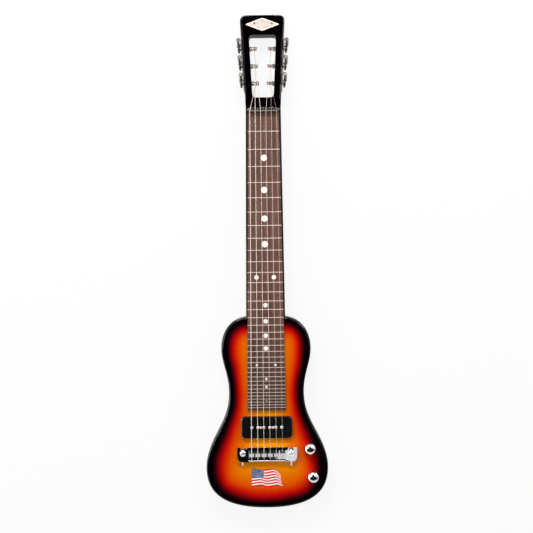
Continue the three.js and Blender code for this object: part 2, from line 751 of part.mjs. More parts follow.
// The gear, centred on the post's axis X, its teeth slanted to follow the worm's thread
function gearGeometry() {
  const gear = slab(gearOutline(), GEAR_THICK).translate(0, 0, -GEAR_THICK / 2);
  gear.rotateY(Math.PI / 2).rotateX(Math.PI / 2);
  const position = gear.attributes.position;
  const point = new THREE.Vector3();
  const axis = new THREE.Vector3(1, 0, 0);
  for (let i = 0; i < position.count; i += 1) {
    point.fromBufferAttribute(position, i);
    point.applyAxisAngle(axis, point.x * Math.tan(WORM_LEAD) / GEAR_PITCH_RADIUS);
    position.setXYZ(i, point.x, point.y, point.z);
  }
  return gear;
}

// A right-handed thread about Z whose thread passes z = 0 on the side of the gear
function wormThread() {
  const positions = [];
  const faces = [];
  const root = WORM_SHAFT_RADIUS - MESH_GAP;
  const section = [
    [root, -WORM_PITCH * THREAD_ROOT_SHARE / 2],
    [WORM_OUTER_RADIUS, -WORM_PITCH * THREAD_TIP_SHARE / 2],
    [WORM_OUTER_RADIUS, WORM_PITCH * THREAD_TIP_SHARE / 2],
    [root, WORM_PITCH * THREAD_ROOT_SHARE / 2],
  ];
  const steps = Math.round(WORM_TURNS * WORM_STEPS);
  for (let i = 0; i <= steps; i += 1) {
    const turn = (i - steps / 2) / WORM_STEPS;
    const angle = 2 * Math.PI * turn - Math.PI / 2;
    for (const [radius, height] of section) {
      positions.push(radius * Math.cos(angle), radius * Math.sin(angle), height + WORM_PITCH * turn);
    }
  }
  const corners = section.length;
  for (let i = 0; i < steps; i += 1) {
    for (let j = 0; j < corners; j += 1) {
      const a = i * corners + j;
      const b = i * corners + (j + 1) % corners;
      faces.push(a, a + corners, b, b, a + corners, b + corners);
    }
  }
  const last = steps * corners;
  faces.push(0, 1, 2, 0, 2, 3);
  faces.push(last, last + 2, last + 1, last, last + 3, last + 2);
  const thread = new THREE.BufferGeometry();
  thread.setAttribute("position", new THREE.Float32BufferAttribute(positions, 3));
  thread.setIndex(faces);
  return thread;
}

const LUG_INNER = WORM_TURNS * WORM_PITCH / 2 + WORM_PITCH * THREAD_ROOT_SHARE / 2 + LUG_CLEAR;
const LUG_OUTER = LUG_INNER + LUG_THICK;
const LUG_LOW_Y = Math.sqrt((GEAR_OUTER_RADIUS + RUN_GAP) ** 2 - LUG_INNER ** 2);
const LUG_HIGH_Y = WORM_Y + LUG_HALF_WIDTH;

// The oval button on its shaft, with the worm between the strap's two lugs
function buttonGeometry() {
  const tail = LUG_OUTER + SHAFT_TAIL;
  const shaft = lathe([
    [0, -tail],
    [WORM_SHAFT_RADIUS, -tail],
    [WORM_SHAFT_RADIUS, LUG_OUTER + LUG_CLEAR],
    [BUTTON_NECK_RADIUS, BUTTON_RISE - BUTTON_NECK_RADIUS],
    [BUTTON_NECK_RADIUS, BUTTON_RISE + BUTTON_EDGE],
    [0, BUTTON_RISE + BUTTON_EDGE],
  ], SMALL_SIDES);
  const oval = new THREE.Shape();
  oval.absellipse(0, 0, BUTTON_LENGTH / 2, BUTTON_HEIGHT / 2, 0, 2 * Math.PI);
  const button = acrossSlab(oval, BUTTON_THICK, BUTTON_EDGE, BUTTON_CURVE_STEPS);
  button.translate(0, 0, BUTTON_RISE + BUTTON_HEIGHT / 2);
  return joined(shaft, wormThread(), button);
}

// The string post along the tuner's own X, its gear outside and its free end in the window
function postGeometry(wall) {
  const gearIn = WORM_STAND - GEAR_THICK / 2;
  const gearOut = WORM_STAND + GEAR_THICK / 2;
  const inner = -wall - SEAT_GAP;
  const free = -wall - POST_REACH;
  const post = lathe([
    [0, free],
    [POST_RADIUS, free],
    [POST_RADIUS, inner - COLLAR_LENGTH],
    [COLLAR_RADIUS, inner],
    [POST_NECK_RADIUS, inner],
    [POST_NECK_RADIUS, gearIn],
    [GEAR_HUB_RADIUS, gearIn],
    [GEAR_HUB_RADIUS, gearOut + GEAR_HUB_LENGTH],
    [0, gearOut + GEAR_HUB_LENGTH],
  ]);
  return joined(post.rotateY(Math.PI / 2), gearGeometry().translate(WORM_STAND, 0, 0));
}

// The strap along one side that carries three tuners, with two lugs for each worm
function strapGeometry(side) {
  const halfHeight = STRAP_HEIGHT / 2;
  const reach = WORM_STAND + WORM_OUTER_RADIUS;
  const low = -POST_PITCH - STRAP_PAST_POST;
  const high = POST_PITCH + STRAP_PAST_POST + WORM_Y / 2;
  const strapX = side * (STRAP_THICK / 2 + SEAT_GAP);
  const lugX = side * (reach + SEAT_GAP) / 2;
  const pieces = [block(STRAP_THICK, high - low, STRAP_HEIGHT, strapX, (low + high) / 2, 0)];
  const cutters = [];
  for (let row = -1; row <= 1; row += 1) {
    const postPlace = row * POST_PITCH;
    const y = postPlace + (LUG_LOW_Y + LUG_HIGH_Y) / 2;
    for (const end of [-1, 1]) {
      const z = end * (LUG_INNER + LUG_OUTER) / 2;
      const lug = block(reach - SEAT_GAP, LUG_HIGH_Y - LUG_LOW_Y, LUG_THICK, lugX, y, z);
      pieces.push(lug);
    }
    const bore = rod(WORM_SHAFT_RADIUS + RUN_GAP, 2 * halfHeight + 2 * OVERRUN);
    cutters.push(bore.translate(side * WORM_STAND, postPlace + WORM_Y, -halfHeight - OVERRUN));
    const pass = rod(POST_NECK_RADIUS + RUN_GAP, 2 * OVERRUN).translate(0, 0, -OVERRUN).rotateY(Math.PI / 2);
    cutters.push(pass.translate(0, postPlace, 0));
  }
  return cut(joined(...pieces), ...cutters);
}

// String 1 to 3 on the treble side, 6 to 4 on the bass side, the outer strings on the posts nearest the nut
function tunerOf(number) {
  const side = number <= STRING_COUNT / 2 ? 1 : -1;
  const row = side > 0 ? number - 1 : STRING_COUNT - number;
  return { side, row };
}

function buildTuners() {
  for (const [side, name] of [[-1, "bass"], [1, "treble"]]) {
    const strap = addPiece(`tuner_plate_${name}`, strapGeometry(side), "chrome");
    strap.applyMatrix4(tunerPlace(side, 1));
  }
  const button = buttonGeometry();
  for (let number = 1; number <= STRING_COUNT; number += 1) {
    const { side, row } = tunerOf(number);
    const station = new THREE.Group();
    station.applyMatrix4(tunerPlace(side, row));
    const wall = (headHalf(postY(row)) - windowHalf(postY(row))) / Math.cos(HEAD_TAPER);
    const post = addPiece(`string_post_${number}`, postGeometry(wall), "chrome", station);
    post.rotation.y = side > 0 ? 0 : Math.PI;
    const worm = addPiece(`tuner_button_${number}`, button.clone(), "chrome", station);
    worm.position.set(side * WORM_STAND, WORM_Y, 0);
    guitar.add(station);
  }
}

// Pickup

function poleX(number) {
  return POLE_PITCH * (number - (STRING_COUNT + 1) / 2);
}

function poleHoles(radius, low, high) {
  const holes = [];
  for (let number = 1; number <= STRING_COUNT; number += 1) {
    holes.push(rod(radius, high - low, SMALL_SIDES).translate(poleX(number), 0, low));
  }
  return holes;
}

function fixingHoles(low, high) {
  return [-1, 1].map((side) => {
    return rod(PICKUP_SCREW_RADIUS + SEAT_GAP, high - low, SMALL_SIDES).translate(side * POLE_PITCH, 0, low);
  });
}

// The pickup's outline, drawn in from the cover's outside
function coverOutline(inset) {
  return roundedRect(COVER_LENGTH / 2 - inset, COVER_WIDTH / 2 - inset, COVER_CORNER - inset);
}

function buildPickup() {
  const low = CHASSIS_Z - OVERRUN;
  const high = COVER_TOP_Z + OVERRUN;
  const outer = slab(coverOutline(0), COVER_HEIGHT + COVER_EDGE, COVER_EDGE);
  outer.translate(0, 0, COVER_LOW_Z - COVER_EDGE);
  const below = block(2 * COVER_LENGTH, 2 * COVER_WIDTH, OVERRUN, 0, 0, COVER_LOW_Z - OVERRUN / 2);
  const hollow = slab(coverOutline(COVER_WALL), COVER_HEIGHT - COVER_WALL + OVERRUN);
  hollow.translate(0, 0, COVER_LOW_Z - OVERRUN);
  const coverHoles = [...poleHoles(POLE_RADIUS + SEAT_GAP, low, high), ...fixingHoles(low, high)];
  const cover = addPiece("pickup_cover", cut(outer, below, hollow, ...coverHoles), "blackPlastic");

  const coilTop = COVER_TOP_Z - COVER_WALL - SEAT_GAP;
  const coilLow = KEEPER_TOP_Z + SEAT_GAP;
  const coilHoles = [...poleHoles(POLE_RADIUS + SEAT_GAP, low, high), ...fixingHoles(low, high)];
  const coilSolid = slab(coverOutline(COIL_MARGIN), coilTop - coilLow).translate(0, 0, coilLow);
  const coil = addPiece("pickup_coil", cut(coilSolid, ...coilHoles), "copper");

  const keeperLength = STRING_COUNT * POLE_PITCH;
  const keeperLow = KEEPER_TOP_Z - KEEPER_HEIGHT;
  const keeperSolid = block(keeperLength, KEEPER_WIDTH, KEEPER_HEIGHT, 0, 0, keeperLow + KEEPER_HEIGHT / 2);
  const poles = [];
  for (let number = 1; number <= STRING_COUNT; number += 1) {
    const top = COVER_TOP_Z + POLE_RISE;
    const pole = lathe([
      [0, keeperLow],
      [POLE_SHANK, keeperLow],
      [POLE_SHANK, top - POLE_HEAD],
      [POLE_RADIUS, top - POLE_HEAD],
      [POLE_RADIUS, top],
      [0, top],
    ], SMALL_SIDES);
    poles.push(pole.translate(poleX(number), 0, 0));
  }
  const keeper = cut(joined(keeperSolid, ...poles), ...fixingHoles(low, high));
  const poleScrews = addPiece("pickup_pole_screws", keeper, "steel");

  const magnetLow = CHASSIS_Z + CHASSIS_THICK;
  const magnets = [-1, 1].map((side) => {
    const y = side * (KEEPER_WIDTH / 2 + MAGNET_SPACE + MAGNET_WIDTH / 2);
    return block(keeperLength, MAGNET_WIDTH, KEEPER_HEIGHT, 0, y, magnetLow + KEEPER_HEIGHT / 2);
  });
  const chassisPlate = slab(coverOutline(COIL_MARGIN), CHASSIS_THICK).translate(0, 0, CHASSIS_Z);
  const chassisSolid = cut(joined(chassisPlate, ...magnets), ...fixingHoles(low, high));
  const chassis = addPiece("pickup_chassis", chassisSolid, "steel");

  const headZ = COVER_TOP_Z + SEAT_GAP;
  const screwLow = PICKUP_FLOOR_Z - PICKUP_SCREW_BITE - headZ;
  for (const [side, name] of [[-1, "bass"], [1, "treble"]]) {
    const screwSolid = lathe([
      [0, screwLow],
      [PICKUP_SCREW_RADIUS, screwLow + PICKUP_SCREW_RADIUS],
      [PICKUP_SCREW_RADIUS, 0],
      [PICKUP_SCREW_HEAD, 0],
      [PICKUP_SCREW_HEAD / 2, PICKUP_SCREW_HEAD_HEIGHT],
      [0, PICKUP_SCREW_HEAD_HEIGHT],
    ], ROUND_SIDES);
    addPiece(`pickup_screw_${name}`, screwSolid, "steel").position.set(side * POLE_PITCH, PICKUP_Y, headZ);
  }
  for (const piece of [cover, coil, poleScrews, chassis]) {
    piece.position.y = PICKUP_Y;
  }
}

// Bridge

const BRIDGE_FRONT_Y = BRIDGE_Y + BRIDGE_FRONT;
const BRIDGE_BACK_Y = BRIDGE_Y - BRIDGE_BACK;
const RAIL_Y = BRIDGE_BACK_Y + RAIL_RADIUS;
const RAIL_Z = BODY_THICK + RAIL_ABOVE_BODY;
const TROUGH_Z = BODY_THICK + TROUGH_ABOVE_BODY;
const BRIDGE_LOW_Z = BODY_THICK + BRIDGE_CLEARANCE;
const BRIDGE_TOP_Z = BODY_THICK + FRONT_ABOVE_BODY;
const SCREW_Z = BODY_THICK + SADDLE_SCREW_Z;
const NOSE_STEPS = 5;

function wireTurnRadius(number) {
  return RAIL_RADIUS + SEAT_GAP + wireRadius(number);
}

// The bar between its ears: front wall, trough and the round rear rail that the strings bend over
function barProfile() {
  const shape = new THREE.Shape();
  const troughBackY = RAIL_Y;
  shape.moveTo(BRIDGE_FRONT_Y, BRIDGE_LOW_Z);
  shape.lineTo(BRIDGE_FRONT_Y, BRIDGE_TOP_Z - SEAT_GAP);
  shape.lineTo(BRIDGE_FRONT_Y - FRONT_WALL, BRIDGE_TOP_Z);
  shape.lineTo(BRIDGE_FRONT_Y - FRONT_WALL, TROUGH_Z);
  shape.lineTo(troughBackY, TROUGH_Z);
  for (let i = 0; i <= NOSE_STEPS; i += 1) {
    const angle = Math.PI / 2 + Math.PI * i / NOSE_STEPS;
    shape.lineTo(RAIL_Y + RAIL_RADIUS * Math.cos(angle), RAIL_Z + RAIL_RADIUS * Math.sin(angle));
  }
  shape.lineTo(RAIL_Y, BRIDGE_LOW_Z);
  shape.closePath();
  return shape;
}

function earGeometry(side) {
  const half = BRIDGE_LENGTH / 2;
  const corners = [
    [side * TROUGH_HALF, BRIDGE_FRONT_Y],
    [side * TROUGH_HALF, BRIDGE_BACK_Y],
    [side * half, BRIDGE_BACK_Y],
    [side * half, BRIDGE_FRONT_Y],
  ];
  const shape = rounded(corners, [EAR_FRONT_CORNER, EAR_FRONT_CORNER, EAR_CORNER, EAR_FRONT_CORNER]);
  const ear = slab(shape, EAR_HIGH - EAR_LOW, 0, 4).translate(0, 0, BODY_THICK + EAR_LOW);
  const room = STUD_NECK + SEAT_GAP;
  const notchDepth = BRIDGE_FRONT + OVERRUN;
  const notch = block(2 * room, notchDepth, 2 * BODY_THICK, side * STUD_X, notchDepth / 2, BODY_THICK);
  notch.translate(0, BRIDGE_STUD_Y, 0);
  const end = rod(room, BODY_THICK).translate(side * STUD_X, BRIDGE_STUD_Y, BODY_THICK);
  const screwHole = rod(SET_SCREW_RADIUS + SEAT_GAP, BRIDGE_BACK + OVERRUN, ROUND_SIDES).rotateX(Math.PI / 2);
  return cut(ear, notch, end, screwHole.translate(side * STUD_X, BRIDGE_STUD_Y, BODY_THICK + SET_SCREW_Z));
}

function buildBridge() {
  const middle = acrossSlab(barProfile(), 2 * (TROUGH_HALF + EAR_LAP));
  const cutters = [];
  const length = BRIDGE_FRONT + BRIDGE_BACK + 2 * OVERRUN;
  for (let number = 1; number <= STRING_COUNT; number += 1) {
    const x = stringX(number, BRIDGE_SPREAD);
    const holeZ = RAIL_Z - wireTurnRadius(number);
    const hole = rod(wireRadius(number) + SEAT_GAP, length, HOLE_SIDES).rotateX(Math.PI / 2);
    cutters.push(hole.translate(x, BRIDGE_FRONT_Y + OVERRUN, holeZ));
    const seat = rod(BALL_RADIUS + SEAT_GAP, BALL_LENGTH + 2 * SEAT_GAP + OVERRUN, SMALL_SIDES);
    cutters.push(seat.rotateX(Math.PI / 2).translate(x, BRIDGE_FRONT_Y + OVERRUN, holeZ));
    const screwHole = rod(SADDLE_SCREW_RADIUS + RUN_GAP, FRONT_WALL + 2 * OVERRUN, SMALL_SIDES);
    cutters.push(screwHole.rotateX(Math.PI / 2).translate(x, BRIDGE_FRONT_Y + OVERRUN, SCREW_Z));
    const headDepth = SADDLE_SCREW_HEAD_HEIGHT + SEAT_GAP + OVERRUN;
    const headHole = rod(SADDLE_SCREW_HEAD + RUN_GAP, headDepth, SMALL_SIDES).rotateX(Math.PI / 2);
    cutters.push(headHole.translate(x, BRIDGE_FRONT_Y + OVERRUN, SCREW_Z));
  }
  addPiece("bridge_bar", joined(cut(middle, ...cutters), earGeometry(-1), earGeometry(1)), "chrome");
  for (const [side, name] of [[-1, "bass"], [1, "treble"]]) {
    const stud = addPiece(`bridge_stud_${name}`, studGeometry(), "chrome");
    stud.position.set(side * STUD_X, BRIDGE_STUD_Y, BODY_THICK);
    const bushing = addPiece(`stud_bushing_${name}`, bushingGeometry(), "steel");
    bushing.position.set(side * STUD_X, BRIDGE_STUD_Y, BODY_THICK);
    const inner = BRIDGE_STUD_Y - STUD_NECK - SEAT_GAP;
    const screw = rod(SET_SCREW_RADIUS, inner - BRIDGE_BACK_Y + SET_SCREW_OUT);
    const setScrew = addPiece(`bridge_set_screw_${name}`, screw.rotateX(Math.PI / 2), "chrome");
    setScrew.position.set(side * STUD_X, inner, BODY_THICK + SET_SCREW_Z);
  }
}

// The height of the stud's own shoulders is counted from the body's face
function studGeometry() {
  const flangeLow = BUSHING_FLANGE + SEAT_GAP;
  const headLow = EAR_HIGH + SEAT_GAP;
  const stud = lathe([
    [0, -STUD_LENGTH],
    [STUD_THREAD, -STUD_LENGTH],
    [STUD_THREAD, flangeLow],
    [STUD_HEAD, flangeLow],
    [STUD_HEAD, flangeLow + STUD_FLANGE],
    [STUD_NECK, flangeLow + STUD_FLANGE],
    [STUD_NECK, headLow],
    [STUD_HEAD, headLow],
    [STUD_HEAD * DOME_SHOULDER_SHARE, headLow + STUD_DOME * DOME_RISE_SHARE],
    [STUD_HEAD * DOME_TOP_SHARE, headLow + STUD_DOME],
    [0, headLow + STUD_DOME],
  ]);
  const slotHeight = STUD_SLOT_DEPTH + OVERRUN;
  const slotZ = headLow + STUD_DOME - STUD_SLOT_DEPTH + slotHeight / 2;
  return cut(stud, block(3 * STUD_HEAD, STUD_SLOT, slotHeight, 0, 0, slotZ));
}

function bushingGeometry() {
  const bore = STUD_THREAD + SEAT_GAP;
  return lathe([
    [0, -BUSHING_LENGTH],
    [BUSHING_RADIUS, -BUSHING_LENGTH],
    [BUSHING_RADIUS, SEAT_GAP],
    [BUSHING_FLANGE_RADIUS, SEAT_GAP],
    [BUSHING_FLANGE_RADIUS, BUSHING_FLANGE],
    [bore, BUSHING_FLANGE],
    [bore, -STUD_LENGTH - SEAT_GAP],
    [0, -STUD_LENGTH - SEAT_GAP],
  ]);
}

// A saddle, its ridge under the string at y = 0
function saddleGeometry(number) {
  const ridge = STRING_Z - wireRadius(number) - SEAT_GAP;
  const low = TROUGH_Z + SEAT_GAP;
  const side = new THREE.Shape();
  side.moveTo(SADDLE_AHEAD, low);
  side.lineTo(SADDLE_AHEAD, ridge - SADDLE_AHEAD);
  side.lineTo(0, ridge);
  side.lineTo(-SADDLE_BEHIND, low + SADDLE_SHOULDER);
  side.lineTo(-SADDLE_BEHIND, low);
  side.closePath();
  const bore = rod(SADDLE_SCREW_RADIUS + RUN_GAP, SADDLE_AHEAD + SADDLE_BEHIND + 2 * OVERRUN, SMALL_SIDES);
  bore.rotateX(Math.PI / 2).translate(0, SADDLE_AHEAD + OVERRUN, SCREW_Z);
  return cut(acrossSlab(side, SADDLE_WIDTH), bore);
}

// The screw along the guitar, its head sunk in the bar's front wall
function saddleScrewGeometry() {
  const headIn = SADDLE_SCREW_HEAD_HEIGHT;
  const end = BRIDGE_FRONT_Y - RAIL_Y - SADDLE_SCREW_END_SPACE - RAIL_RADIUS;
  const screw = lathe([
    [0, 0],
    [SADDLE_SCREW_HEAD, 0],
    [SADDLE_SCREW_HEAD, headIn],
    [SADDLE_SCREW_RADIUS, headIn],
    [SADDLE_SCREW_RADIUS, end],
    [0, end],
  ], SMALL_SIDES);
  return screw.rotateX(Math.PI / 2);
}

const SADDLE_Y = BRIDGE_Y;

function buildSaddles() {
  for (let number = 1; number <= STRING_COUNT; number += 1) {
    const x = stringX(number, BRIDGE_SPREAD);
    addPiece(`saddle_${number}`, saddleGeometry(number), "chrome").position.set(x, SADDLE_Y, 0);
    const screw = addPiece(`saddle_screw_${number}`, saddleScrewGeometry(), "steel");
    screw.position.set(x, BRIDGE_FRONT_Y, SCREW_Z);
  }
}

// Knobs and potentiometers

function buildControls() {
  const names = ["volume", "tone"];
  const shaftTop = BODY_THICK + KNOB_LIFT + KNOB_HEIGHT - KNOB_TOP_WALL - SEAT_GAP;
  const shaftLow = CAVITY_TOP_Z - SEAT_GAP - POT_HEIGHT + 2 * SEAT_GAP;
  const potTop = CAVITY_TOP_Z - SEAT_GAP;
  const hollow = KNOB_RADIUS - KNOB_WALL;
  const grip = SHAFT_RADIUS + SEAT_GAP;
  const bore = SHAFT_RADIUS + RUN_GAP;
  const nutTop = BODY_THICK + SEAT_GAP + POT_NUT_HEIGHT;
  knobPlaces.forEach(([x, y], i) => {
    const knob = lathe([
      [grip, KNOB_HOLLOW_HEIGHT],
      [hollow, KNOB_HOLLOW_HEIGHT],
      [hollow, 0],
      [KNOB_RADIUS, 0],
      [KNOB_RADIUS, KNOB_HEIGHT - KNOB_DOME],
      [KNOB_RADIUS * DOME_SHOULDER_SHARE, KNOB_HEIGHT - KNOB_DOME * (1 - DOME_RISE_SHARE)],
      [KNOB_RADIUS * DOME_TOP_SHARE, KNOB_HEIGHT],
      [0, KNOB_HEIGHT],
      [0, KNOB_HEIGHT - KNOB_TOP_WALL],
      [grip, KNOB_HEIGHT - KNOB_TOP_WALL],
      [grip, KNOB_HOLLOW_HEIGHT],
    ], KNOB_SIDES);
    addPiece(`knob_${names[i]}`, knob, "chrome").position.set(x, y, BODY_THICK + KNOB_LIFT);
    const shaft = rod(SHAFT_RADIUS, shaftTop - shaftLow).translate(0, 0, shaftLow);
    addPiece(`pot_shaft_${names[i]}`, shaft, "steel").position.set(x, y, 0);
    const potLow = potTop - POT_HEIGHT;
    const can = lathe([
      [0, potLow],
      [POT_RADIUS, potLow],
      [POT_RADIUS, potTop],
      [POT_BUSH_RADIUS, potTop],
      [POT_BUSH_RADIUS, nutTop + SEAT_GAP],
      [bore, nutTop + SEAT_GAP],
      [bore, shaftLow - SEAT_GAP],
      [0, shaftLow - SEAT_GAP],
    ], POT_SIDES);
    const nutBlank = rod(POT_NUT_RADIUS, POT_NUT_HEIGHT, HEX_SIDES).translate(0, 0, BODY_THICK + SEAT_GAP);
    const nut = cut(nutBlank, rod(bore + SEAT_GAP, 2 * BODY_THICK, POT_SIDES));
    addPiece(`pot_${names[i]}`, joined(can, nut), "steel").position.set(x, y, 0);
  });
}

function buildRearCover() {
  const shape = roundedRect(
    CAVITY_HALF_WIDTH + COVER_LAP,
    CAVITY_HALF_LENGTH + COVER_LAP,
    CAVITY_CORNER + COVER_LAP,
  );
  const plate = addPiece("control_cover", slab(shape, REAR_COVER_THICK), "blackPlastic");
  plate.position.set(CAVITY_X, CAVITY_Y, REAR_COVER_INSET);
}

// Output jack

function buildJack() {
  const shape = roundedRect(JACK_PLATE_HEIGHT / 2, JACK_PLATE_LENGTH / 2, JACK_PLATE_CORNER);
  const hole = rod(JACK_THREAD_RADIUS + SEAT_GAP, 2 * OVERRUN).translate(0, 0, -OVERRUN);
  const plate = addPiece("jack_plate", cut(slab(shape, JACK_PLATE_THICK), hole), "chrome");
  plate.rotation.y = Math.PI / 2;
  plate.position.set(JACK_POCKET_X + SEAT_GAP, JACK_Y, JACK_Z);

  const nutLow = JACK_PLATE_THICK + 2 * SEAT_GAP;
  const mouth = nutLow + JACK_NUT_HEIGHT + SEAT_GAP;
  const bodyTop = -JACK_WALL - SEAT_GAP;
  const bottom = bodyTop - JACK_BODY_LENGTH;
  const barrel = lathe([
    [0, bottom],
    [JACK_BODY_RADIUS, bottom],
    [JACK_BODY_RADIUS, bodyTop],
    [JACK_THREAD_RADIUS, bodyTop],
    [JACK_THREAD_RADIUS, mouth],
    [JACK_BORE_RADIUS, mouth],
    [JACK_BORE_RADIUS, bottom + JACK_END_WALL],
    [0, bottom + JACK_END_WALL],
  ]);
  const nutBlank = rod(JACK_NUT_RADIUS, JACK_NUT_HEIGHT, HEX_SIDES).translate(0, 0, nutLow);
  const nut = cut(nutBlank, rod((JACK_THREAD_RADIUS + JACK_BORE_RADIUS) / 2, mouth + OVERRUN));
  const socket = addPiece("jack_socket", joined(barrel, nut), "steel");
  socket.rotation.y = Math.PI / 2;
  socket.position.set(JACK_POCKET_X, JACK_Y, JACK_Z);
}

// Strings: each runs from its ball under the bar, round the rear rail, over saddle and nut to its post

// A curve through given stations, one step of the sweep from each to the next
class StationCurve extends THREE.Curve {
  constructor(stations) {
    super();
    this.stations = stations;
  }

  getPoint(t) {
    const place = t * (this.stations.length - 1);
    const i = Math.min(Math.floor(place), this.stations.length - 2);
    return this.stations[i].clone().lerp(this.stations[i + 1], place - i);
  }

  getPointAt(t) {
    return this.getPoint(t);
  }

  getTangentAt(t) {
    const i = Math.round(t * (this.stations.length - 1));
    const before = this.stations[Math.max(i - 1, 0)];
    const here = this.stations[i];
    const after = this.stations[Math.min(i + 1, this.stations.length - 1)];
    const arriving = here.clone().sub(before).normalize();
    const leaving = after.clone().sub(here).normalize();
    return arriving.add(leaving).normalize();
  }
}

function tube(stations, radius) {
  const section = new THREE.Shape();
  for (let i = 0; i < WIRE_SIDES; i += 1) {
    const angle = 2 * Math.PI * i / WIRE_SIDES;
    const point = [radius * Math.cos(angle), radius * Math.sin(angle)];
    if (i === 0) {
      section.moveTo(...point);
    } else {
      section.lineTo(...point);
    }
  }
  section.closePath();
  const steps = stations.length - 1;
  const extrudePath = new StationCurve(stations);
  return new THREE.ExtrudeGeometry(section, { steps, extrudePath, bevelEnabled: false });
}

// The turns round the post, in the guitar's own frame, from where the string first touches it
function postTurns(number, start) {
  const { side, row } = tunerOf(number);
  const wire = wireRadius(number);
  const place = tunerPlace(side, row);
  const wall = (headHalf(postY(row)) - windowHalf(postY(row))) / Math.cos(HEAD_TAPER);
  const radius = POST_RADIUS / Math.cos(Math.PI / ROUND_SIDES) + SEAT_GAP + wire;
  const pitch = 2 * wire + TURN_GAP;
  const firstX = -wall - COLLAR_LENGTH - 2 * SEAT_GAP - pitch;
  const away = new THREE.Vector2(start.y - postY(row), start.z - POST_Z);
  const touch = away.angle() - Math.acos(radius / away.length());
  const turns = [];
  for (let i = 0; i <= LOOP_COUNT * LOOP_STEPS; i += 1) {
    const angle = touch - 2 * Math.PI * i / LOOP_STEPS;
    const x = side * (firstX - pitch * i / LOOP_STEPS);
    const local = new THREE.Vector3(x, radius * Math.cos(angle), radius * Math.sin(angle));
    turns.push(local.applyMatrix4(place));
  }
  return turns;
}

const TURN_STEPS = 6;

function stringStations(number) {
  const nutX = stringX(number, NUT_SPREAD);
  const bridgeX = stringX(number, BRIDGE_SPREAD);
  const turnRadius = wireTurnRadius(number);
  const stations = [new THREE.Vector3(bridgeX, BRIDGE_FRONT_Y - SEAT_GAP, RAIL_Z - turnRadius)];
  for (let i = 0; i <= TURN_STEPS; i += 1) {
    const angle = -Math.PI / 2 - Math.PI * i / TURN_STEPS;
    const y = RAIL_Y + turnRadius * Math.cos(angle);
    stations.push(new THREE.Vector3(bridgeX, y, RAIL_Z + turnRadius * Math.sin(angle)));
  }
  stations.push(new THREE.Vector3(bridgeX, SADDLE_Y - SADDLE_TRAVEL - SEAT_GAP, STRING_Z));
  stations.push(new THREE.Vector3(nutX, NUT_Y, STRING_Z));
  const nutEnd = new THREE.Vector3(nutX, NUT_Y + NUT_WALL, STRING_Z);
  stations.push(nutEnd);
  stations.push(...postTurns(number, nutEnd));
  return stations;
}

// The least distance between turns that lie a whole turn apart, less the wire's own thickness
function leastGap(number) {
  const { row } = tunerOf(number);
  const turns = postTurns(number, new THREE.Vector3(0, NUT_Y + NUT_WALL, STRING_Z));
  let least = postY(row);
  for (let i = 0; i < turns.length; i += 1) {
    for (let j = i + LOOP_STEPS / 2; j < turns.length; j += 1) {
      least = Math.min(least, turns[i].distanceTo(turns[j]));
    }
  }
  return least - 2 * wireRadius(number);
}

function buildStrings() {
  for (let number = 1; number <= STRING_COUNT; number += 1) {
    const stations = stringStations(number);
    const wire = tube(stations, wireRadius(number));
    const ball = rod(BALL_RADIUS, BALL_LENGTH, SMALL_SIDES).rotateX(Math.PI / 2);
    ball.translate(stations[0].x, stations[0].y, stations[0].z);
    const finish = number <= STRING_COUNT / 2 ? "steel" : "wound";
    addPiece(`string_${number}`, joined(wire, ball), finish);
    console.log(`string_${number}: least gap between its turns ${leastGap(number).toFixed(2)} mm`);
  }
}

buildBody();
buildFretboard();
buildNut();
buildNutScrews();
buildNameplate();
buildTuners();
buildPickup();
buildBridge();
buildSaddles();
buildControls();
buildRearCover();
buildJack();
buildStrings();

export default guitar;
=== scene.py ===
# %% [markdown]
# # A lap steel guitar, dressed for its portrait
#
# The guitar lies on its flat back with the strings up, and the camera looks straight down on it.
# Its shapes come from a finished model, the frame. This script gives the frame its finishes and
# adds what is too fine for it: position lines, pearl dots, a flag transfer, screw slots and windings.
# The scene is built in metres. Sizes of the guitar are written in millimetres, and MM turns them over.

import json
import math

import bmesh
import bpy
import numpy as np
from mathutils import Matrix, Vector

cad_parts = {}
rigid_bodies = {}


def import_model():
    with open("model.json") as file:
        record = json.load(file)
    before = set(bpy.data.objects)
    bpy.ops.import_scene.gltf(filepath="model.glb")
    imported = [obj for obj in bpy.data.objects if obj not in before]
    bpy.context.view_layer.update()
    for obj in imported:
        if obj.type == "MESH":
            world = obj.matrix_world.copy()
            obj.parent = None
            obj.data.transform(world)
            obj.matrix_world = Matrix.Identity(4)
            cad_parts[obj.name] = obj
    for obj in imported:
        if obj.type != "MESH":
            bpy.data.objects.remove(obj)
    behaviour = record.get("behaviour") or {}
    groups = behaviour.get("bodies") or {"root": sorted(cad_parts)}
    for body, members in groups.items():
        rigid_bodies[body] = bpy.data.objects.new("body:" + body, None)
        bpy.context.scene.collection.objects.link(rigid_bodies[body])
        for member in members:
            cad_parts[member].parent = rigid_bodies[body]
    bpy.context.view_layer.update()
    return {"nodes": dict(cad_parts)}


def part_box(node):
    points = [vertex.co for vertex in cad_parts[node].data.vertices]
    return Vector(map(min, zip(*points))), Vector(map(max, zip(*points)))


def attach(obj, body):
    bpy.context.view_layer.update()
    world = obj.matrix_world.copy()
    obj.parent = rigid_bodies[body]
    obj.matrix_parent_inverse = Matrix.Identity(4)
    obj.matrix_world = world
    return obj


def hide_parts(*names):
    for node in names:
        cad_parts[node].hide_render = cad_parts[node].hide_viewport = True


for leftover in list(bpy.data.objects):
    bpy.data.objects.remove(leftover)
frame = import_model()

MM = 0.001
nodes = frame["nodes"]


# %% Object and mesh helpers
def placed(name, data):
    """A new object in the scene."""
    made = bpy.data.objects.new(name, data)
    bpy.context.scene.collection.objects.link(made)
    return made


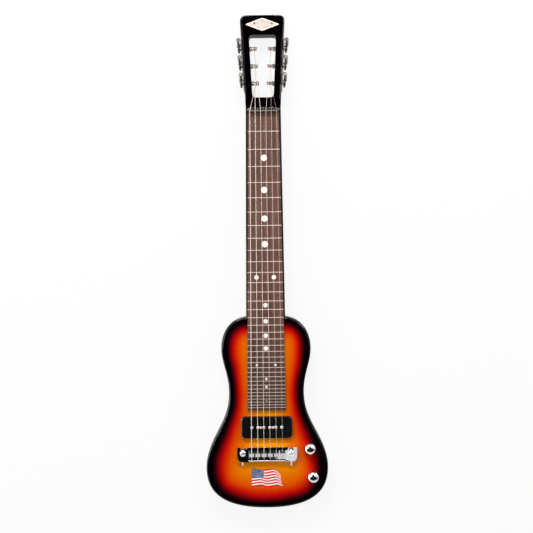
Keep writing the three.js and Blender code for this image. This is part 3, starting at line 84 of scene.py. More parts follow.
def baked(holder):
    """The mesh of an object as its modifiers leave it. The object itself goes."""
    mesh = bpy.data.meshes.new_from_object(holder.evaluated_get(bpy.context.evaluated_depsgraph_get()))
    bpy.data.objects.remove(holder)
    return mesh


def finished(shape, name):
    """The plain mesh of a shape that has been worked on. The shape itself goes."""
    mesh = bpy.data.meshes.new(name)
    shape.to_mesh(mesh)
    shape.free()
    return mesh


# %% [markdown]
# ## Camera
#
# A product photograph from straight above is taken with the camera on a high stand. The guitar is
# turned by less than a degree in it, so here the camera is turned and the guitar stays straight.
# The lens follows from how much of the table the picture's side takes in at the height of the strings.

# %% Camera
CAMERA_HEIGHT = 1545 * MM
CAMERA_X = 2.5 * MM
CAMERA_Y = -9.9 * MM
CAMERA_TURN = -0.01159
SHARP_HEIGHT = 45 * MM
VIEW_SIDE = 894.4 * MM
SENSOR_WIDTH = 36.0
NEAREST_SEEN = 50 * MM
FARTHEST_SEEN = 50.0

camera_data = bpy.data.cameras.new("camera")
camera_data.sensor_width = SENSOR_WIDTH
camera_data.lens = SENSOR_WIDTH * (CAMERA_HEIGHT - SHARP_HEIGHT) / VIEW_SIDE
camera_data.clip_start = NEAREST_SEEN
camera_data.clip_end = FARTHEST_SEEN
camera = placed("camera", camera_data)
camera.location = (CAMERA_X, CAMERA_Y, CAMERA_HEIGHT)
camera.rotation_euler = (0, 0, CAMERA_TURN)
bpy.context.scene.camera = camera
bpy.context.scene.view_settings.view_transform = "Standard"
print("lens in mm:", round(camera_data.lens, 2))

# %% [markdown]
# ## Colours and shader nodes
#
# Paint charts and photographs give colours as sRGB hex values, while light is calculated in linear
# values, so one function turns the first into the second. Another adds a shader node, sets what is
# given and links what comes from other nodes. The rest are short names for what is used again and
# again: sums, noises, ramps and blends, each added to the tree that its sockets belong to.


# %% Colour and node helpers
def linear(code):
    """An sRGB hex colour such as "D96A00" as linear red, green, blue and alpha."""
    shares = [int(code[i : i + 2], 16) / 255 for i in (0, 2, 4)]
    return tuple(s / 12.92 if s <= 0.04045 else ((s + 0.055) / 1.055) ** 2.4 for s in shares) + (1.0,)


def add_node(tree, kind, inputs=(), **settings):
    """Adds a node. Inputs are given by name or number: a socket is linked and a value is set."""
    node = tree.nodes.new(kind)
    for name, value in settings.items():
        setattr(node, name, value)
    for key, value in dict(inputs).items():
        socket = node.inputs[key]
        if isinstance(value, bpy.types.NodeSocket):
            tree.links.new(value, socket)
        else:
            socket.default_value = value
    return node


def add(tree, kind, inputs=(), **settings):
    """Adds a node and gives its outputs."""
    return add_node(tree, kind, inputs, **settings).outputs


def new_material(name):
    """A material with an empty node tree, and that tree."""
    material = bpy.data.materials.new(name)
    material.use_nodes = True
    material.node_tree.nodes.clear()
    return material, material.node_tree


def principled(tree, inputs):
    """Ends a material's tree with a Principled shader on its output."""
    shader = add(tree, "ShaderNodeBsdfPrincipled", inputs)[0]
    add(tree, "ShaderNodeOutputMaterial", {"Surface": shader})


def millimetres(tree, scale=(1, 1, 1)):
    """Object coordinates in millimetres, each stretched by its own scale."""
    place = add(tree, "ShaderNodeTexCoord")["Object"]
    stretch = tuple(s / MM for s in scale)
    return add(tree, "ShaderNodeMapping", {"Vector": place, "Scale": stretch})[0]


# %% Short names for common nodes
def tree_of(values):
    """The tree of the first socket among sockets and numbers."""
    return next(value.id_data for value in values if isinstance(value, bpy.types.NodeSocket))


def calculation(operation):
    """A function that adds one calculation on sockets and numbers and gives its result."""
    return lambda *values: add(tree_of(values), "ShaderNodeMath", enumerate(values), operation=operation)[0]


plus, minus, times, over = (calculation(name) for name in ("ADD", "SUBTRACT", "MULTIPLY", "DIVIDE"))
times_plus, power, most = (calculation(name) for name in ("MULTIPLY_ADD", "POWER", "MAXIMUM"))
size_of, below, beyond = (calculation(name) for name in ("ABSOLUTE", "LESS_THAN", "GREATER_THAN"))


def vector(*parts):
    """A vector of up to three sockets or numbers."""
    return add(tree_of(parts), "ShaderNodeCombineXYZ", enumerate(parts))[0]


def axes(place):
    """The parts of a vector, named X, Y and Z."""
    return add(place.id_data, "ShaderNodeSeparateXYZ", {0: place})


def carried(value, target, source=(0, 1), kind="LINEAR"):
    """A value carried from the source span to the target span, and kept within it."""
    inputs = dict(zip(("Value", "From Min", "From Max", "To Min", "To Max"), (value, *source, *target)))
    return add(value.id_data, "ShaderNodeMapRange", inputs, interpolation_type=kind)[0]


def noise(place, scale=1.0, **finer):
    """Soft noise at a place, with its finer settings under the node's own names."""
    return add(place.id_data, "ShaderNodeTexNoise", {"Vector": place, "Scale": scale, **finer})[0]


def ramp(factor, *stops):
    """The colour of a ramp whose stops are pairs of place and hex colour."""
    node = add_node(factor.id_data, "ShaderNodeValToRGB", {"Fac": factor})
    elements = node.color_ramp.elements
    while len(elements) < len(stops):
        elements.new(1.0)
    for element, (place, code) in zip(elements, stops):
        element.position = place
        element.color = linear(code)
    return node.outputs["Color"]


def blend(share, first, second):
    """The first colour where the share is zero, the second where it is one."""
    return add(share.id_data, "ShaderNodeMix", {0: share, 6: first, 7: second}, data_type="RGBA")[2]


def dimmed(colour, share):
    """A colour times a share."""
    return add(share.id_data, "ShaderNodeVectorMath", {0: colour, 3: share}, operation="SCALE")[0]


def bump(height, depth):
    """The normal of a surface whose relief is depth millimetres high."""
    inputs = {"Height": height, "Distance": depth * MM, "Strength": 1.0}
    return add(height.id_data, "ShaderNodeBump", inputs)["Normal"]


# %% [markdown]
# ## Table and light
#
# Black lacquer and chrome show whatever stands round them. A photographer surrounds them with white
# and leaves dark what stands over them. So the sky that a shiny face mirrors is white, with a soft
# dark shade for camera and photographer, a dark strip for the stand toward the head, a dark card low
# on the treble side toward the tail, a bright strip low on the bass side and one small bright gleam.
# Every other ray meets an even, weaker sky with the same dark places. Three soft lamps add plain
# light, so that a colour shows as it is written. The camera itself sees a white table, with a little
# of its shade left.

# %% Table
TABLE_HALF = 6.0
TABLE_COLOUR = "E6E6E6"
WHITE = "FFFFFF"
SHADE_KEPT = 0.12
GLOSSY_SHARE = 0.25

table_mesh = bpy.data.meshes.new("table")
table_corners = [(x * TABLE_HALF, y * TABLE_HALF, 0) for x, y in ((-1, -1), (1, -1), (1, 1), (-1, 1))]
table_mesh.from_pydata(table_corners, [], [(0, 1, 2, 3)])
table = placed("table", table_mesh)

material, tree = new_material("white_table")
rays = add(tree, "ShaderNodeLightPath")
seen = most(rays["Is Camera Ray"], times(rays["Is Glossy Ray"], GLOSSY_SHARE))
seen = most(seen, rays["Is Transmission Ray"])
paint = add(tree, "ShaderNodeBsdfDiffuse", {"Color": linear(TABLE_COLOUR)})[0]
glow = add(tree, "ShaderNodeEmission", {"Color": linear(WHITE), "Strength": 1.0})[0]
mixed = add(tree, "ShaderNodeMixShader", {0: times(seen, 1 - SHADE_KEPT), 1: paint, 2: glow})[0]
add(tree, "ShaderNodeOutputMaterial", {"Surface": mixed})
table_mesh.materials.append(material)
print("table side in metres:", 2 * TABLE_HALF)

# %% Sky
SKY_STRENGTH = 0.55
REFLECTED_STRENGTH = 1.0
SHADE_STRENGTH = 0.005
SHADE_WIDE = 0.85
SHADE_LONG = 0.36
SHADE_CENTRE = -0.3
SHADE_SOFT = 0.25
STAND_X = (-0.11, 0.11)
STAND_Y = (-0.3, 1.1)
STAND_SOFT = 0.03
HORIZON_SPAN = (-0.95, -0.75)
HORIZON_STRENGTH = 4.0
CARD_X = (0.8, 0.9)
CARD_Y = (-0.12, -0.04)
GLEAM_STRENGTH = 0.9
GLEAM_X = (0.010, 0.0335)
GLEAM_Y = (-0.216, -0.1975)
GLEAM_SOFT = 0.002


def falloff(value, inner, outer):
    """One where a value is below the inner limit, zero beyond the outer one."""
    return carried(value, (1, 0), (inner, outer), "SMOOTHSTEP")


def between(value, span, soft):
    """One where a value lies within a span, fading to zero over a soft edge."""
    half = (span[1] - span[0]) / 2
    return falloff(size_of(minus(value, sum(span) / 2)), half, half + soft)


def squared(value, reach):
    """The square of a value's share of its reach."""
    return power(size_of(over(value, reach)), 2.0)


world = bpy.data.worlds.new("studio")
bpy.context.scene.world = world
world.use_nodes = True
tree = world.node_tree
tree.nodes.clear()
rays = add(tree, "ShaderNodeLightPath")
part = axes(add(tree, "ShaderNodeTexCoord")["Generated"])

round_shade = plus(squared(part["X"], SHADE_WIDE), squared(minus(part["Y"], SHADE_CENTRE), SHADE_LONG))
shade = falloff(round_shade, 1 - SHADE_SOFT, 1 + SHADE_SOFT)
stand = times(between(part["X"], STAND_X, STAND_SOFT), between(part["Y"], STAND_Y, STAND_SOFT))
card = times(minus(1.0, falloff(part["X"], *CARD_X)), falloff(part["Y"], *CARD_Y))
side_glow = falloff(part["X"], *HORIZON_SPAN)
dark = times(most(most(shade, stand), card), minus(1.0, side_glow))
open_sky = times_plus(rays["Is Glossy Ray"], REFLECTED_STRENGTH - SKY_STRENGTH, SKY_STRENGTH)
open_sky = plus(open_sky, times(times(side_glow, rays["Is Glossy Ray"]), HORIZON_STRENGTH))
gleam = times(between(part["X"], GLEAM_X, GLEAM_SOFT), between(part["Y"], GLEAM_Y, GLEAM_SOFT))
level = most(carried(dark, (open_sky, SHADE_STRENGTH)), times(gleam, GLEAM_STRENGTH))
strength = most(level, rays["Is Camera Ray"])
sky = add(tree, "ShaderNodeBackground", {"Color": linear(WHITE), "Strength": strength})[0]
add(tree, "ShaderNodeOutputWorld", {"Surface": sky})
print("sky nodes:", len(tree.nodes))

# %% Lamps
LAMPS = {
    "treble_lamp": {"size": (0.5, 2.4), "watts": 18, "place": (1.4, 0.84, 1.0)},
    "bass_lamp": {"size": (0.5, 2.4), "watts": 14, "place": (-1.5, -0.1, 1.0)},
    "head_lamp": {"size": (1.2, 0.4), "watts": 34, "place": (-0.3, 1.5, 1.4)},
}
LAMP_COLOUR = "FFFDF8"


def soft_lamp(name, size, watts, place):
    """A rectangular lamp that faces the guitar, its size and place in metres."""
    data = bpy.data.lights.new(name, "AREA")
    data.shape = "RECTANGLE"
    data.size, data.size_y = size
    data.energy = watts
    data.color = linear(LAMP_COLOUR)[:3]
    lamp = placed(name, data)
    lamp.location = place
    lamp.rotation_euler = (-Vector(place)).to_track_quat("-Z", "Y").to_euler()


for name, settings in LAMPS.items():
    soft_lamp(name, **settings)
print("lamps:", len(LAMPS))

# %% [markdown]
# ## Body
#
# The body is one slab of wood, sawn to a waisted outline, rounded over by a quarter circle all round
# and sprayed. The frame's slab has the same outline in short straight steps with a flat bevel. It is
# copied, cut along a grid of planes and its rim is moved out onto the true curve, so that a highlight
# runs along it without a break. The grid serves the paint as well: every corner point of it stores
# how far it lies from the edge, and the sunburst follows that distance.

# %% The outline as a smooth curve
SHOULDER_Y = -94.3
UPPER_BOUT_Y = -147.5
WAIST_Y = -221.1
LOWER_BOUT_Y = -348.8
TAIL_Y = -416.5
HEEL_HALF = 33.0
UPPER_BOUT_HALF = 75.5
WAIST_HALF = 63.1
LOWER_BOUT_HALF = 102.6
BODY_TOP = 40.0
BODY_ROUND = 4.0
CURVE_STEPS = 90

# How far each handle of the curve reaches, as a share of the stretch it shapes
SHOULDER_OUT_SHARE = 0.82
SHOULDER_DOWN_SHARE = 0.085
UPPER_BOUT_SHARES = (0.35, 0.335)
WAIST_SHARES = (0.405, 0.442)
LOWER_BOUT_SHARES = (0.383, 0.59)
TAIL_SHARE = 0.755


def bezier(start, first, second, end):
    """Points along a cubic curve, without its last one."""
    t = np.linspace(0, 1, CURVE_STEPS, endpoint=False)[:, None]
    points = [np.array(p, float) for p in (start, first, second, end)]
    weights = [(1 - t) ** 3, 3 * t * (1 - t) ** 2, 3 * t**2 * (1 - t), t**3]
    return sum(w * p for w, p in zip(weights, points))


def upright(half, y, before, after, shares):
    """A station where the outline runs straight down, between its two handles."""
    return [(half, y + before * shares[0]), (half, y), (half, y - after * shares[1])]


def body_outline():
    """The right half from the neck to the middle of the tail, then the left half back, in millimetres."""
    shoulder = SHOULDER_Y - UPPER_BOUT_Y
    waist = UPPER_BOUT_Y - WAIST_Y
    flare = WAIST_Y - LOWER_BOUT_Y
    tail = LOWER_BOUT_Y - TAIL_Y
    out = (UPPER_BOUT_HALF - HEEL_HALF) * SHOULDER_OUT_SHARE
    stations = [(HEEL_HALF, SHOULDER_Y), (HEEL_HALF + out, SHOULDER_Y - shoulder * SHOULDER_DOWN_SHARE)]
    stations += upright(UPPER_BOUT_HALF, UPPER_BOUT_Y, shoulder, waist, UPPER_BOUT_SHARES)
    stations += upright(WAIST_HALF, WAIST_Y, waist, flare, WAIST_SHARES)
    stations += upright(LOWER_BOUT_HALF, LOWER_BOUT_Y, flare, tail, LOWER_BOUT_SHARES)
    stations += [(LOWER_BOUT_HALF * TAIL_SHARE, TAIL_Y), (0, TAIL_Y)]
    right = np.concatenate([bezier(*stations[i : i + 4]) for i in range(0, len(stations) - 1, 3)])
    left = right[::-1] * (-1, 1)
    return np.concatenate([right, [(0, TAIL_Y)], left])


outline = body_outline()
ahead = np.roll(outline, -1, axis=0) - outline
print("outline points:", len(outline), "length in mm:", round(np.hypot(*ahead.T).sum(), 1))


# %% Distance to the outline
def nearest_on_outline(points):
    """For each point, the distance to the outline, the nearest place on it and that place's stretch."""
    best = np.full(len(points), np.inf)
    place = np.zeros((len(points), 2))
    which = np.zeros(len(points), int)
    for number, (start, step, square) in enumerate(zip(outline, ahead, (ahead**2).sum(1))):
        share = np.clip(((points - start) @ step) / square, 0, 1)
        spot = start + share[:, None] * step
        gap = np.hypot(*(points - spot).T)
        closer = gap < best
        best[closer] = gap[closer]
        place[closer] = spot[closer]
        which[closer] = number
    return best, place, which


# %% Cut the slab along a grid and round its rim
GRID_STEP = 4.0
GRID_START = 2.0
ARC_ANGLES = [math.radians(a) for a in (22.5, 45, 67.5)]
RIM_FIT = 0.7
SHOULDER_SLACK = 0.1
HEEL_SLACK = 2.0
SMOOTH_ANGLE = math.radians(32)
FLAT_ANGLE = math.radians(0.5)
MERGE_GAP = 0.01
CUT_GAP = 0.002


def merged_copy(node):
    """A frame node's mesh with its loose triangles joined and its flat faces made whole."""
    shape = bmesh.new()
    shape.from_mesh(nodes[node].data)
    bmesh.ops.remove_doubles(shape, verts=shape.verts, dist=MERGE_GAP * MM)
    bmesh.ops.dissolve_limit(shape, angle_limit=FLAT_ANGLE, verts=shape.verts, edges=shape.edges)
    return shape


def smoothed(mesh):
    """The mesh with smooth shading, apart from its sharp edges."""
    mesh.shade_smooth()
    mesh.set_sharp_from_angle(angle=SMOOTH_ANGLE)
    return mesh


def slice_shape(shape, axis, places):
    """Cuts the shape by planes across an axis at places in millimetres, without parting it."""
    for place in places:
        point, normal = Vector((0, 0, 0)), Vector((0, 0, 0))
        point[axis] = place * MM
        normal[axis] = 1
        geometry = shape.verts[:] + shape.edges[:] + shape.faces[:]
        bmesh.ops.bisect_plane(shape, geom=geometry, plane_co=point, plane_no=normal, dist=CUT_GAP * MM)


slab = merged_copy("body")
slice_shape(slab, 0, np.arange(GRID_START - LOWER_BOUT_HALF, LOWER_BOUT_HALF, GRID_STEP))
slice_shape(slab, 1, np.arange(TAIL_Y + GRID_START, SHOULDER_Y, GRID_STEP))
arc_heights = [BODY_ROUND * (1 - math.sin(a)) for a in ARC_ANGLES]
slice_shape(slab, 2, arc_heights + [BODY_TOP - h for h in arc_heights])

flat = np.array([v.co for v in slab.verts]) / MM
edge_gap, edge_place, edge_run = nearest_on_outline(flat[:, :2])
depth = np.minimum(flat[:, 2], BODY_TOP - flat[:, 2])
half_way = BODY_ROUND * (1 - math.sqrt(0.5))
bevel_inset = np.interp(depth, [0, half_way, BODY_ROUND], [BODY_ROUND, half_way, 0])
rise = np.clip(BODY_ROUND - depth, 0, BODY_ROUND)
arc_inset = BODY_ROUND - np.sqrt(BODY_ROUND**2 - rise**2)
on_rim = (np.abs(edge_gap - bevel_inset) < RIM_FIT) & (flat[:, 1] < SHOULDER_Y + SHOULDER_SLACK)
on_rim &= (np.abs(flat[:, 0]) > HEEL_HALF + HEEL_SLACK) | (flat[:, 1] < SHOULDER_Y - 2 * BODY_ROUND)
on_rim &= (bevel_inset > 0) | (edge_gap < RIM_FIT)
print("body corners:", len(flat), "on the rim:", int(on_rim.sum()))

# %% Move the rim onto the curve and store the distance
BACK_HEIGHT = BODY_TOP / 2
SPRAY_Y = (-412, -392, -360, -320, -240, -190, -150)
SPRAY_SHARES = (1.2, 0.9, 0.76, 0.78, 1.13, 1.1, 0.95)

run = ahead[edge_run]
inward = np.stack([run[:, 1], -run[:, 0]], 1) / np.hypot(*run.T)[:, None]
rounded = flat.copy()
rounded[:, :2] = np.where(on_rim[:, None], edge_place + inward * arc_inset[:, None], flat[:, :2])
for corner, place in zip(slab.verts, rounded):
    corner.co = place * MM

# The spray is wider on the lower bout's sides than at the waist and the tail
sprayed = np.interp(rounded[:, 1], SPRAY_Y, SPRAY_SHARES)
inside = (rounded[:, 1] < SHOULDER_Y) & (rounded[:, 2] > BACK_HEIGHT)
distance = np.where(inside, edge_gap * sprayed, 0)
slab.verts.index_update()
slab.edges.index_update()
print("widest paint in mm:", round(distance.max(), 1))

# %% Keep the edges of the ramp sharp
RAMP_CREASE = math.radians(3)
RAMP_SPAN = (256, 276)


def on_ramp(edge):
    """True for an edge across the neck where two slopes meet, between the fretboard and the window."""
    if len(edge.link_faces) != 2 or edge.calc_face_angle() < RAMP_CREASE:
        return False
    level = all(abs(face.normal.x) < RAMP_CREASE for face in edge.link_faces)
    return level and all(RAMP_SPAN[0] < corner.co.y / MM < RAMP_SPAN[1] for corner in edge.verts)


ramp_creases = [edge.index for edge in slab.edges if on_ramp(edge)]
body = finished(slab, "sunburst_body")
body.attributes.new("edge_distance", "FLOAT", "POINT").data.foreach_set("value", distance)
smoothed(body)
creases = body.attributes["sharp_edge"].data
for number in ramp_creases:
    creases[number].value = True
print("sharp edges round the ramp:", len(ramp_creases))


# %% Make pieces of meshes
def flat_kept(mesh):
    """The mesh with normals weighted by area, so that a flat face beside a round stays flat to the light."""
    holder = placed(mesh.name, mesh)
    holder.modifiers.new("weight", "WEIGHTED_NORMAL").keep_sharp = True
    return baked(holder)


def piece(name, mesh, material, rides="guitar", stands_for=()):
    """Puts a finished mesh in the scene as a piece that rides on a body of the frame."""
    made = placed(name, mesh)
    made.data.materials.clear()
    made.data.materials.append(material)
    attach(made, rides)
    if stands_for:
        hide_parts(*stands_for)
    return made


print("body faces:", len(body.polygons))

# %% [markdown]
# ## Sunburst lacquer
#
# The finish is nitrocellulose lacquer over a pale wood: a clear amber coat in the middle, then red and
# at last black sprayed towards the edge, levelled and polished. The eye gets a thin, mirror-like clear
# layer over a colour that has a little grain in it. A colour ramp follows the stored distance, and
# noise drawn out along the strings gives the grain under the gloss.

# %% Lacquer
BURST_SPAN = 60.0
BURST_STOPS = [
    (0, "040103"), (8, "060104"), (11, "240308"), (14, "58030C"), (17, "90050B"), (20, "B80C07"),
    (24, "CE2604"), (29, "DA4A03"), (37, "E06A02"), (48, "E98402"), (60, "F29402"),
]
GRAIN_PITCH = 2.4
GRAIN_LENGTH = 70.0
GRAIN_SHADES = (0.86, 1.08)
CLOUD_SCALE = 0.02
WANDER = 3.0

lacquer, tree = new_material("sunburst_lacquer")
edge = add(tree, "ShaderNodeAttribute", attribute_name="edge_distance")["Fac"]
grain = noise(millimetres(tree, (1 / GRAIN_PITCH, 1 / GRAIN_LENGTH, 1 / GRAIN_PITCH)), Detail=3.0)
cloud = noise(millimetres(tree), CLOUD_SCALE)
share = over(plus(edge, times_plus(cloud, 2 * WANDER, -WANDER)), BURST_SPAN)
burst = ramp(share, *((place / BURST_SPAN, code) for place, code in BURST_STOPS))
tinted = dimmed(burst, carried(grain, GRAIN_SHADES))
principled(tree, {"Base Color": tinted, "Roughness": 0.04, "Specular IOR Level": 0.25})
body_piece = piece("sunburst_body", flat_kept(body), lacquer, stands_for=["body"])
print("burst colours:", len(BURST_STOPS), "corners:", len(body_piece.data.vertices))

# %% [markdown]
# ## Metals and plastics
#
# Chrome plate is a mirror with a faint cold tint, and it has no colour of its own: what it shows is
# the studio. Plain steel wire and screws are duller and a little warm. The pickup cover is moulded
# ABS, polished, and the plate on the headstock is cast with a raised rim round a stippled panel.
# Each metal keeps the shader's own IOR and differs in its colour and its roughness.

# %% Metals and plastics
TINT_SCALE = 0.35
TINT_SHADES = (0.94, 1.06)


def plain_material(name, code, roughness, metallic=0.0, mark_size=0.0, mark_depth=0.0):
    """One colour and gloss, with fine marks of a real size in millimetres where that isn't zero."""
    material, tree = new_material(name)
    tint = carried(noise(millimetres(tree), TINT_SCALE, Detail=2.0), TINT_SHADES)
    inputs = {"Base Color": dimmed(linear(code)[:3], tint), "Roughness": roughness, "Metallic": metallic}
    if mark_size:
        inputs["Normal"] = bump(noise(millimetres(tree), 1 / mark_size), mark_depth)
    principled(tree, inputs)
    return material


def metal(name, code, roughness, **marks):
    """A plain material that is all metal."""
    return plain_material(name, code, roughness, metallic=1.0, **marks)


chrome = metal("chrome_plate", "E2E4E6", 0.03)
saddle_chrome = metal("cast_saddle_chrome", "C9C9CA", 0.14, mark_size=1.6, mark_depth=0.12)
plate_nickel = metal("dull_plate_nickel", "7A7672", 0.35)
steel = metal("bright_steel", "C9C6C1", 0.28, mark_size=0.6, mark_depth=0.01)
bright_steel = metal("screw_steel", "DCCFC9", 0.42)
nut_chrome = metal("worn_nut_chrome", "CCC7C1", 0.17, mark_size=2.0, mark_depth=0.03)
aged_screw = metal("aged_screw_steel", "6A5B54", 0.35)
pin_iron = metal("pin_iron", "5A4A44", 0.4)
tuner_nickel = plain_material("dull_tuner_nickel", "908C88", 0.2, metallic=0.9)
copper = plain_material("enamelled_copper", "7A3B22", 0.4, metallic=0.6)
black_abs = plain_material("moulded_abs", "0C1013", 0.16, mark_size=1.5, mark_depth=0.004)
black_sheet = plain_material("black_fibre_sheet", "141414", 0.5, mark_size=0.8, mark_depth=0.02)
print("materials so far:", len(bpy.data.materials))

# %% Nameplate
PANEL_HEIGHT = 33.15
STIPPLE_SIZE = 0.9
STIPPLE_DEPTH = 0.2

cast_plate, tree = new_material("cast_nameplate")
place = millimetres(tree)
sunk = below(axes(place)["Z"], PANEL_HEIGHT)
stipple = noise(place, 1 / STIPPLE_SIZE, Detail=1.0)
panel = ramp(stipple, (0.36, "9A8780"), (0.5, "D3C0B8"), (0.64, "F2E6DF"))
face = blend(sunk, linear("EFE7DF"), panel)
relief = bump(times(sunk, stipple), STIPPLE_DEPTH)
principled(tree, {"Base Color": face, "Roughness": 0.35, "Normal": relief})

# %% String posts
POST_Y = 330.5
POST_Z = 21
POST_PITCH = 29.4
SHAFT_REACH = 3.2

# The post's bare shaft is bright nickel, while its collar and its gear are darker steel
string_post, tree = new_material("nickel_post_steel_gear")
place = axes(millimetres(tree))
along = calculation("WRAP")(minus(place["Y"], POST_Y), POST_PITCH / 2, -POST_PITCH / 2)
spoke = vector(along, minus(place["Z"], POST_Z))
reach = add(tree, "ShaderNodeVectorMath", {0: spoke}, operation="LENGTH")["Value"]
tone = blend(beyond(reach, SHAFT_REACH), linear("BFAFA8"), linear("6E6C69"))
principled(tree, {"Base Color": tone, "Metallic": 0.75, "Roughness": 0.3})

# %% [markdown]
# ## Rosewood
#
# The fretboard is open-grained rosewood, oiled, not lacquered. Its pores are short dark dashes along
# the strings over broad soft bands of light and dark brown. Two noises do this: one drawn out a
# little for the bands, and one drawn out a lot, and kept only where it is darkest, for the pores.

# %% Rosewood
PORE_WIDTH = 0.7
PORE_LENGTH = 9.0
PORE_SPAN = (0.3, 0.5)
PORE_SHADES = (0.6, 1.0)
PORE_DEPTH = 0.03
BAND_WIDTH = 5.0
BAND_LENGTH = 120.0
DARK_SPAN = (-240, -70)
WOOD_SHADES = (0.36, 0.85)
HOLLY_SHADES = (0.62, 1.0)


def toward_body(tree, shades):
    """How much of its lightness a colour keeps along the fretboard, less of it toward the body."""
    return carried(axes(millimetres(tree))["Y"], shades, DARK_SPAN)


rosewood, tree = new_material("oiled_rosewood")
bands = noise(millimetres(tree, (1 / BAND_WIDTH, 1 / BAND_LENGTH, 1 / BAND_WIDTH)), Detail=4.0)
pores = noise(millimetres(tree, (1 / PORE_WIDTH, 1 / PORE_LENGTH, 1 / PORE_WIDTH)), Detail=2.0)
browns = ramp(bands, (0.3, "573A32"), (0.5, "6B4A40"), (0.7, "7E5A4D"))
open_pores = carried(pores, PORE_SHADES, PORE_SPAN)
wood = dimmed(browns, times(open_pores, toward_body(tree, WOOD_SHADES)))
relief = bump(open_pores, PORE_DEPTH)
principled(tree, {"Base Color": wood, "Roughness": 0.5, "Specular IOR Level": 0.3, "Normal": relief})

# %% [markdown]
# ## Strings
#
# The three thin strings are plain steel wire, and the three thick ones have a fine round winding.
# The winding is far finer than a pixel, so its turns are drawn a millimetre apart, as light and dark
# bands along the string: the dark part of each band is painted shade in the groove between two turns,
# and the light part is a painted highlight on the crown of a turn. This keeps the wound strings duller
# than the plain ones.

# %% String metals
WINDING_PITCH = 1.0
WINDING_DEPTH = 0.08

plain_wire = metal("plain_string_steel", "B3A095", 0.3)
wound_wire, tree = new_material("wound_string_nickel")
wave = {"Vector": millimetres(tree), "Scale": 1 / (2 * WINDING_PITCH)}
turns = add(tree, "ShaderNodeTexWave", wave, bands_direction="Y")[0]
# Painted shade and highlight: the colour is darker in the grooves between turns and lighter on their crowns
tone = ramp(turns, (0.0, "857A70"), (0.6, "C2B7AC"), (1.0, "D8CFC6"))
relief = bump(turns, WINDING_DEPTH)
principled(tree, {"Base Color": tone, "Metallic": 1.0, "Roughness": 0.36, "Normal": relief})

# %% Give the frame its finishes
families = {
    rosewood: ["fretboard"],
    cast_plate: ["nameplate"],
    black_abs: ["pickup_cover"],
    copper: ["pickup_coil"],
    black_sheet: ["control_cover"],
    chrome: ["bridge_bar", "bridge_stud", "knob", "jack_plate", "saddle_"],
    bright_steel: ["bridge_set_screw"],
    steel: ["nut_screw", "pickup_chassis", "pickup_pole_screws", "pickup_screw", "stud_bushing",
            "saddle_screw", "pot", "jack_socket"],
    plate_nickel: ["tuner_plate"],
    tuner_nickel: ["tuner_button"],
    string_post: ["string_post"],
    nut_chrome: ["nut"],
    plain_wire: ["string_1", "string_2", "string_3"],
    wound_wire: ["string_4", "string_5", "string_6"],
}
finish_of = {start: material for material, starts in families.items() for start in starts}
for name, node in nodes.items():
    if name == "body":
        continue
    longest = max((start for start in finish_of if name.startswith(start)), key=len)
    node.data.materials.clear()
    node.data.materials.append(finish_of[longest])
print("finished nodes:", len(nodes) - 1)

# %% [markdown]
# ## Position lines and pearl dots
#
# A lap steel is played with a bar, so it has no raised frets: thin strips of pale wood let into the
# board mark where the notes lie. Each lies a twelfth root of two nearer the bridge than the one
# before. Geometry Nodes place one box for each number by that rule. The pearl dots sit midway between
# two lines, in a few sizes, so their tree puts a disc on each point and reads its radius from it.


# %% Geometry Nodes helpers
def size_tree(name, sizes):
    """An empty geometry tree with a named input for each size, and the outputs of its group input."""
    tree = bpy.data.node_groups.new(name, "GeometryNodeTree")
    for way in ("INPUT", "OUTPUT"):
        tree.interface.new_socket(name="Geometry", in_out=way, socket_type="NodeSocketGeometry")
    for size, value in sizes.items():
        kind = "NodeSocketInt" if isinstance(value, int) else "NodeSocketFloat"
        tree.interface.new_socket(name=size, in_out="INPUT", socket_type=kind)
    return tree, tree.nodes.new("NodeGroupInput").outputs


def close_tree(tree, instances, material):
    """Ends a tree: instances on its points, made real, and their material set."""
    spread = add(tree, "GeometryNodeInstanceOnPoints", instances)[0]
    real = add(tree, "GeometryNodeRealizeInstances", {0: spread})[0]
    painted = add(tree, "GeometryNodeSetMaterial", {"Geometry": real, "Material": material})[0]
    add(tree, "NodeGroupOutput", {0: painted})


def grown(name, tree, sizes, start=None):
    """Runs a tree on a mesh, with its sizes set, and returns the result as a plain mesh."""
    seed = placed(name + "_seed", start or bpy.data.meshes.new(name + "_seed"))
    modifier = seed.modifiers.new("tree", "NODES")
    modifier.node_group = tree
    for item in tree.interface.items_tree:
        if item.in_out == "INPUT" and item.name in sizes:
            modifier[item.identifier] = sizes[item.name]
    mesh = baked(seed)
    mesh.name = name
    return mesh


# %% Position lines
NOTES_PER_OCTAVE = 12
LINE_COUNT = 35
NUT_Y = 249.2
SCALE_LENGTH = 571.5
BRIDGE_Y = NUT_Y - SCALE_LENGTH
BOARD_NUT_HALF = 26.1
BOARD_END_HALF = 32.2
BOARD_TOP = 45.0
BOARD_LENGTH = SCALE_LENGTH * (1 - 2 ** (-(LINE_COUNT + 1) / NOTES_PER_OCTAVE))
STRIP_IN = 0.1
STREAKS = (0.1, 2, 2)
LINE_SIZES = {
    "Count": LINE_COUNT,
    "Scale Length": SCALE_LENGTH * MM,
    "Nut Place": NUT_Y * MM,
    "Nut Half Width": (BOARD_NUT_HALF - STRIP_IN) * MM,
    "Flare": (BOARD_END_HALF - BOARD_NUT_HALF) / BOARD_LENGTH,
    "Strip Width": 0.98 * MM,
    "Strip Height": 0.78 * MM,
    "Board Top": BOARD_TOP * MM,
}

holly, tree = new_material("holly_strip")
streak = noise(millimetres(tree, STREAKS))
pale = dimmed(ramp(streak, (0.3, "D9C6BC"), (0.7, "F2E6DC")), toward_body(tree, HOLLY_SHADES))
principled(tree, {"Base Color": pale, "Roughness": 0.45})

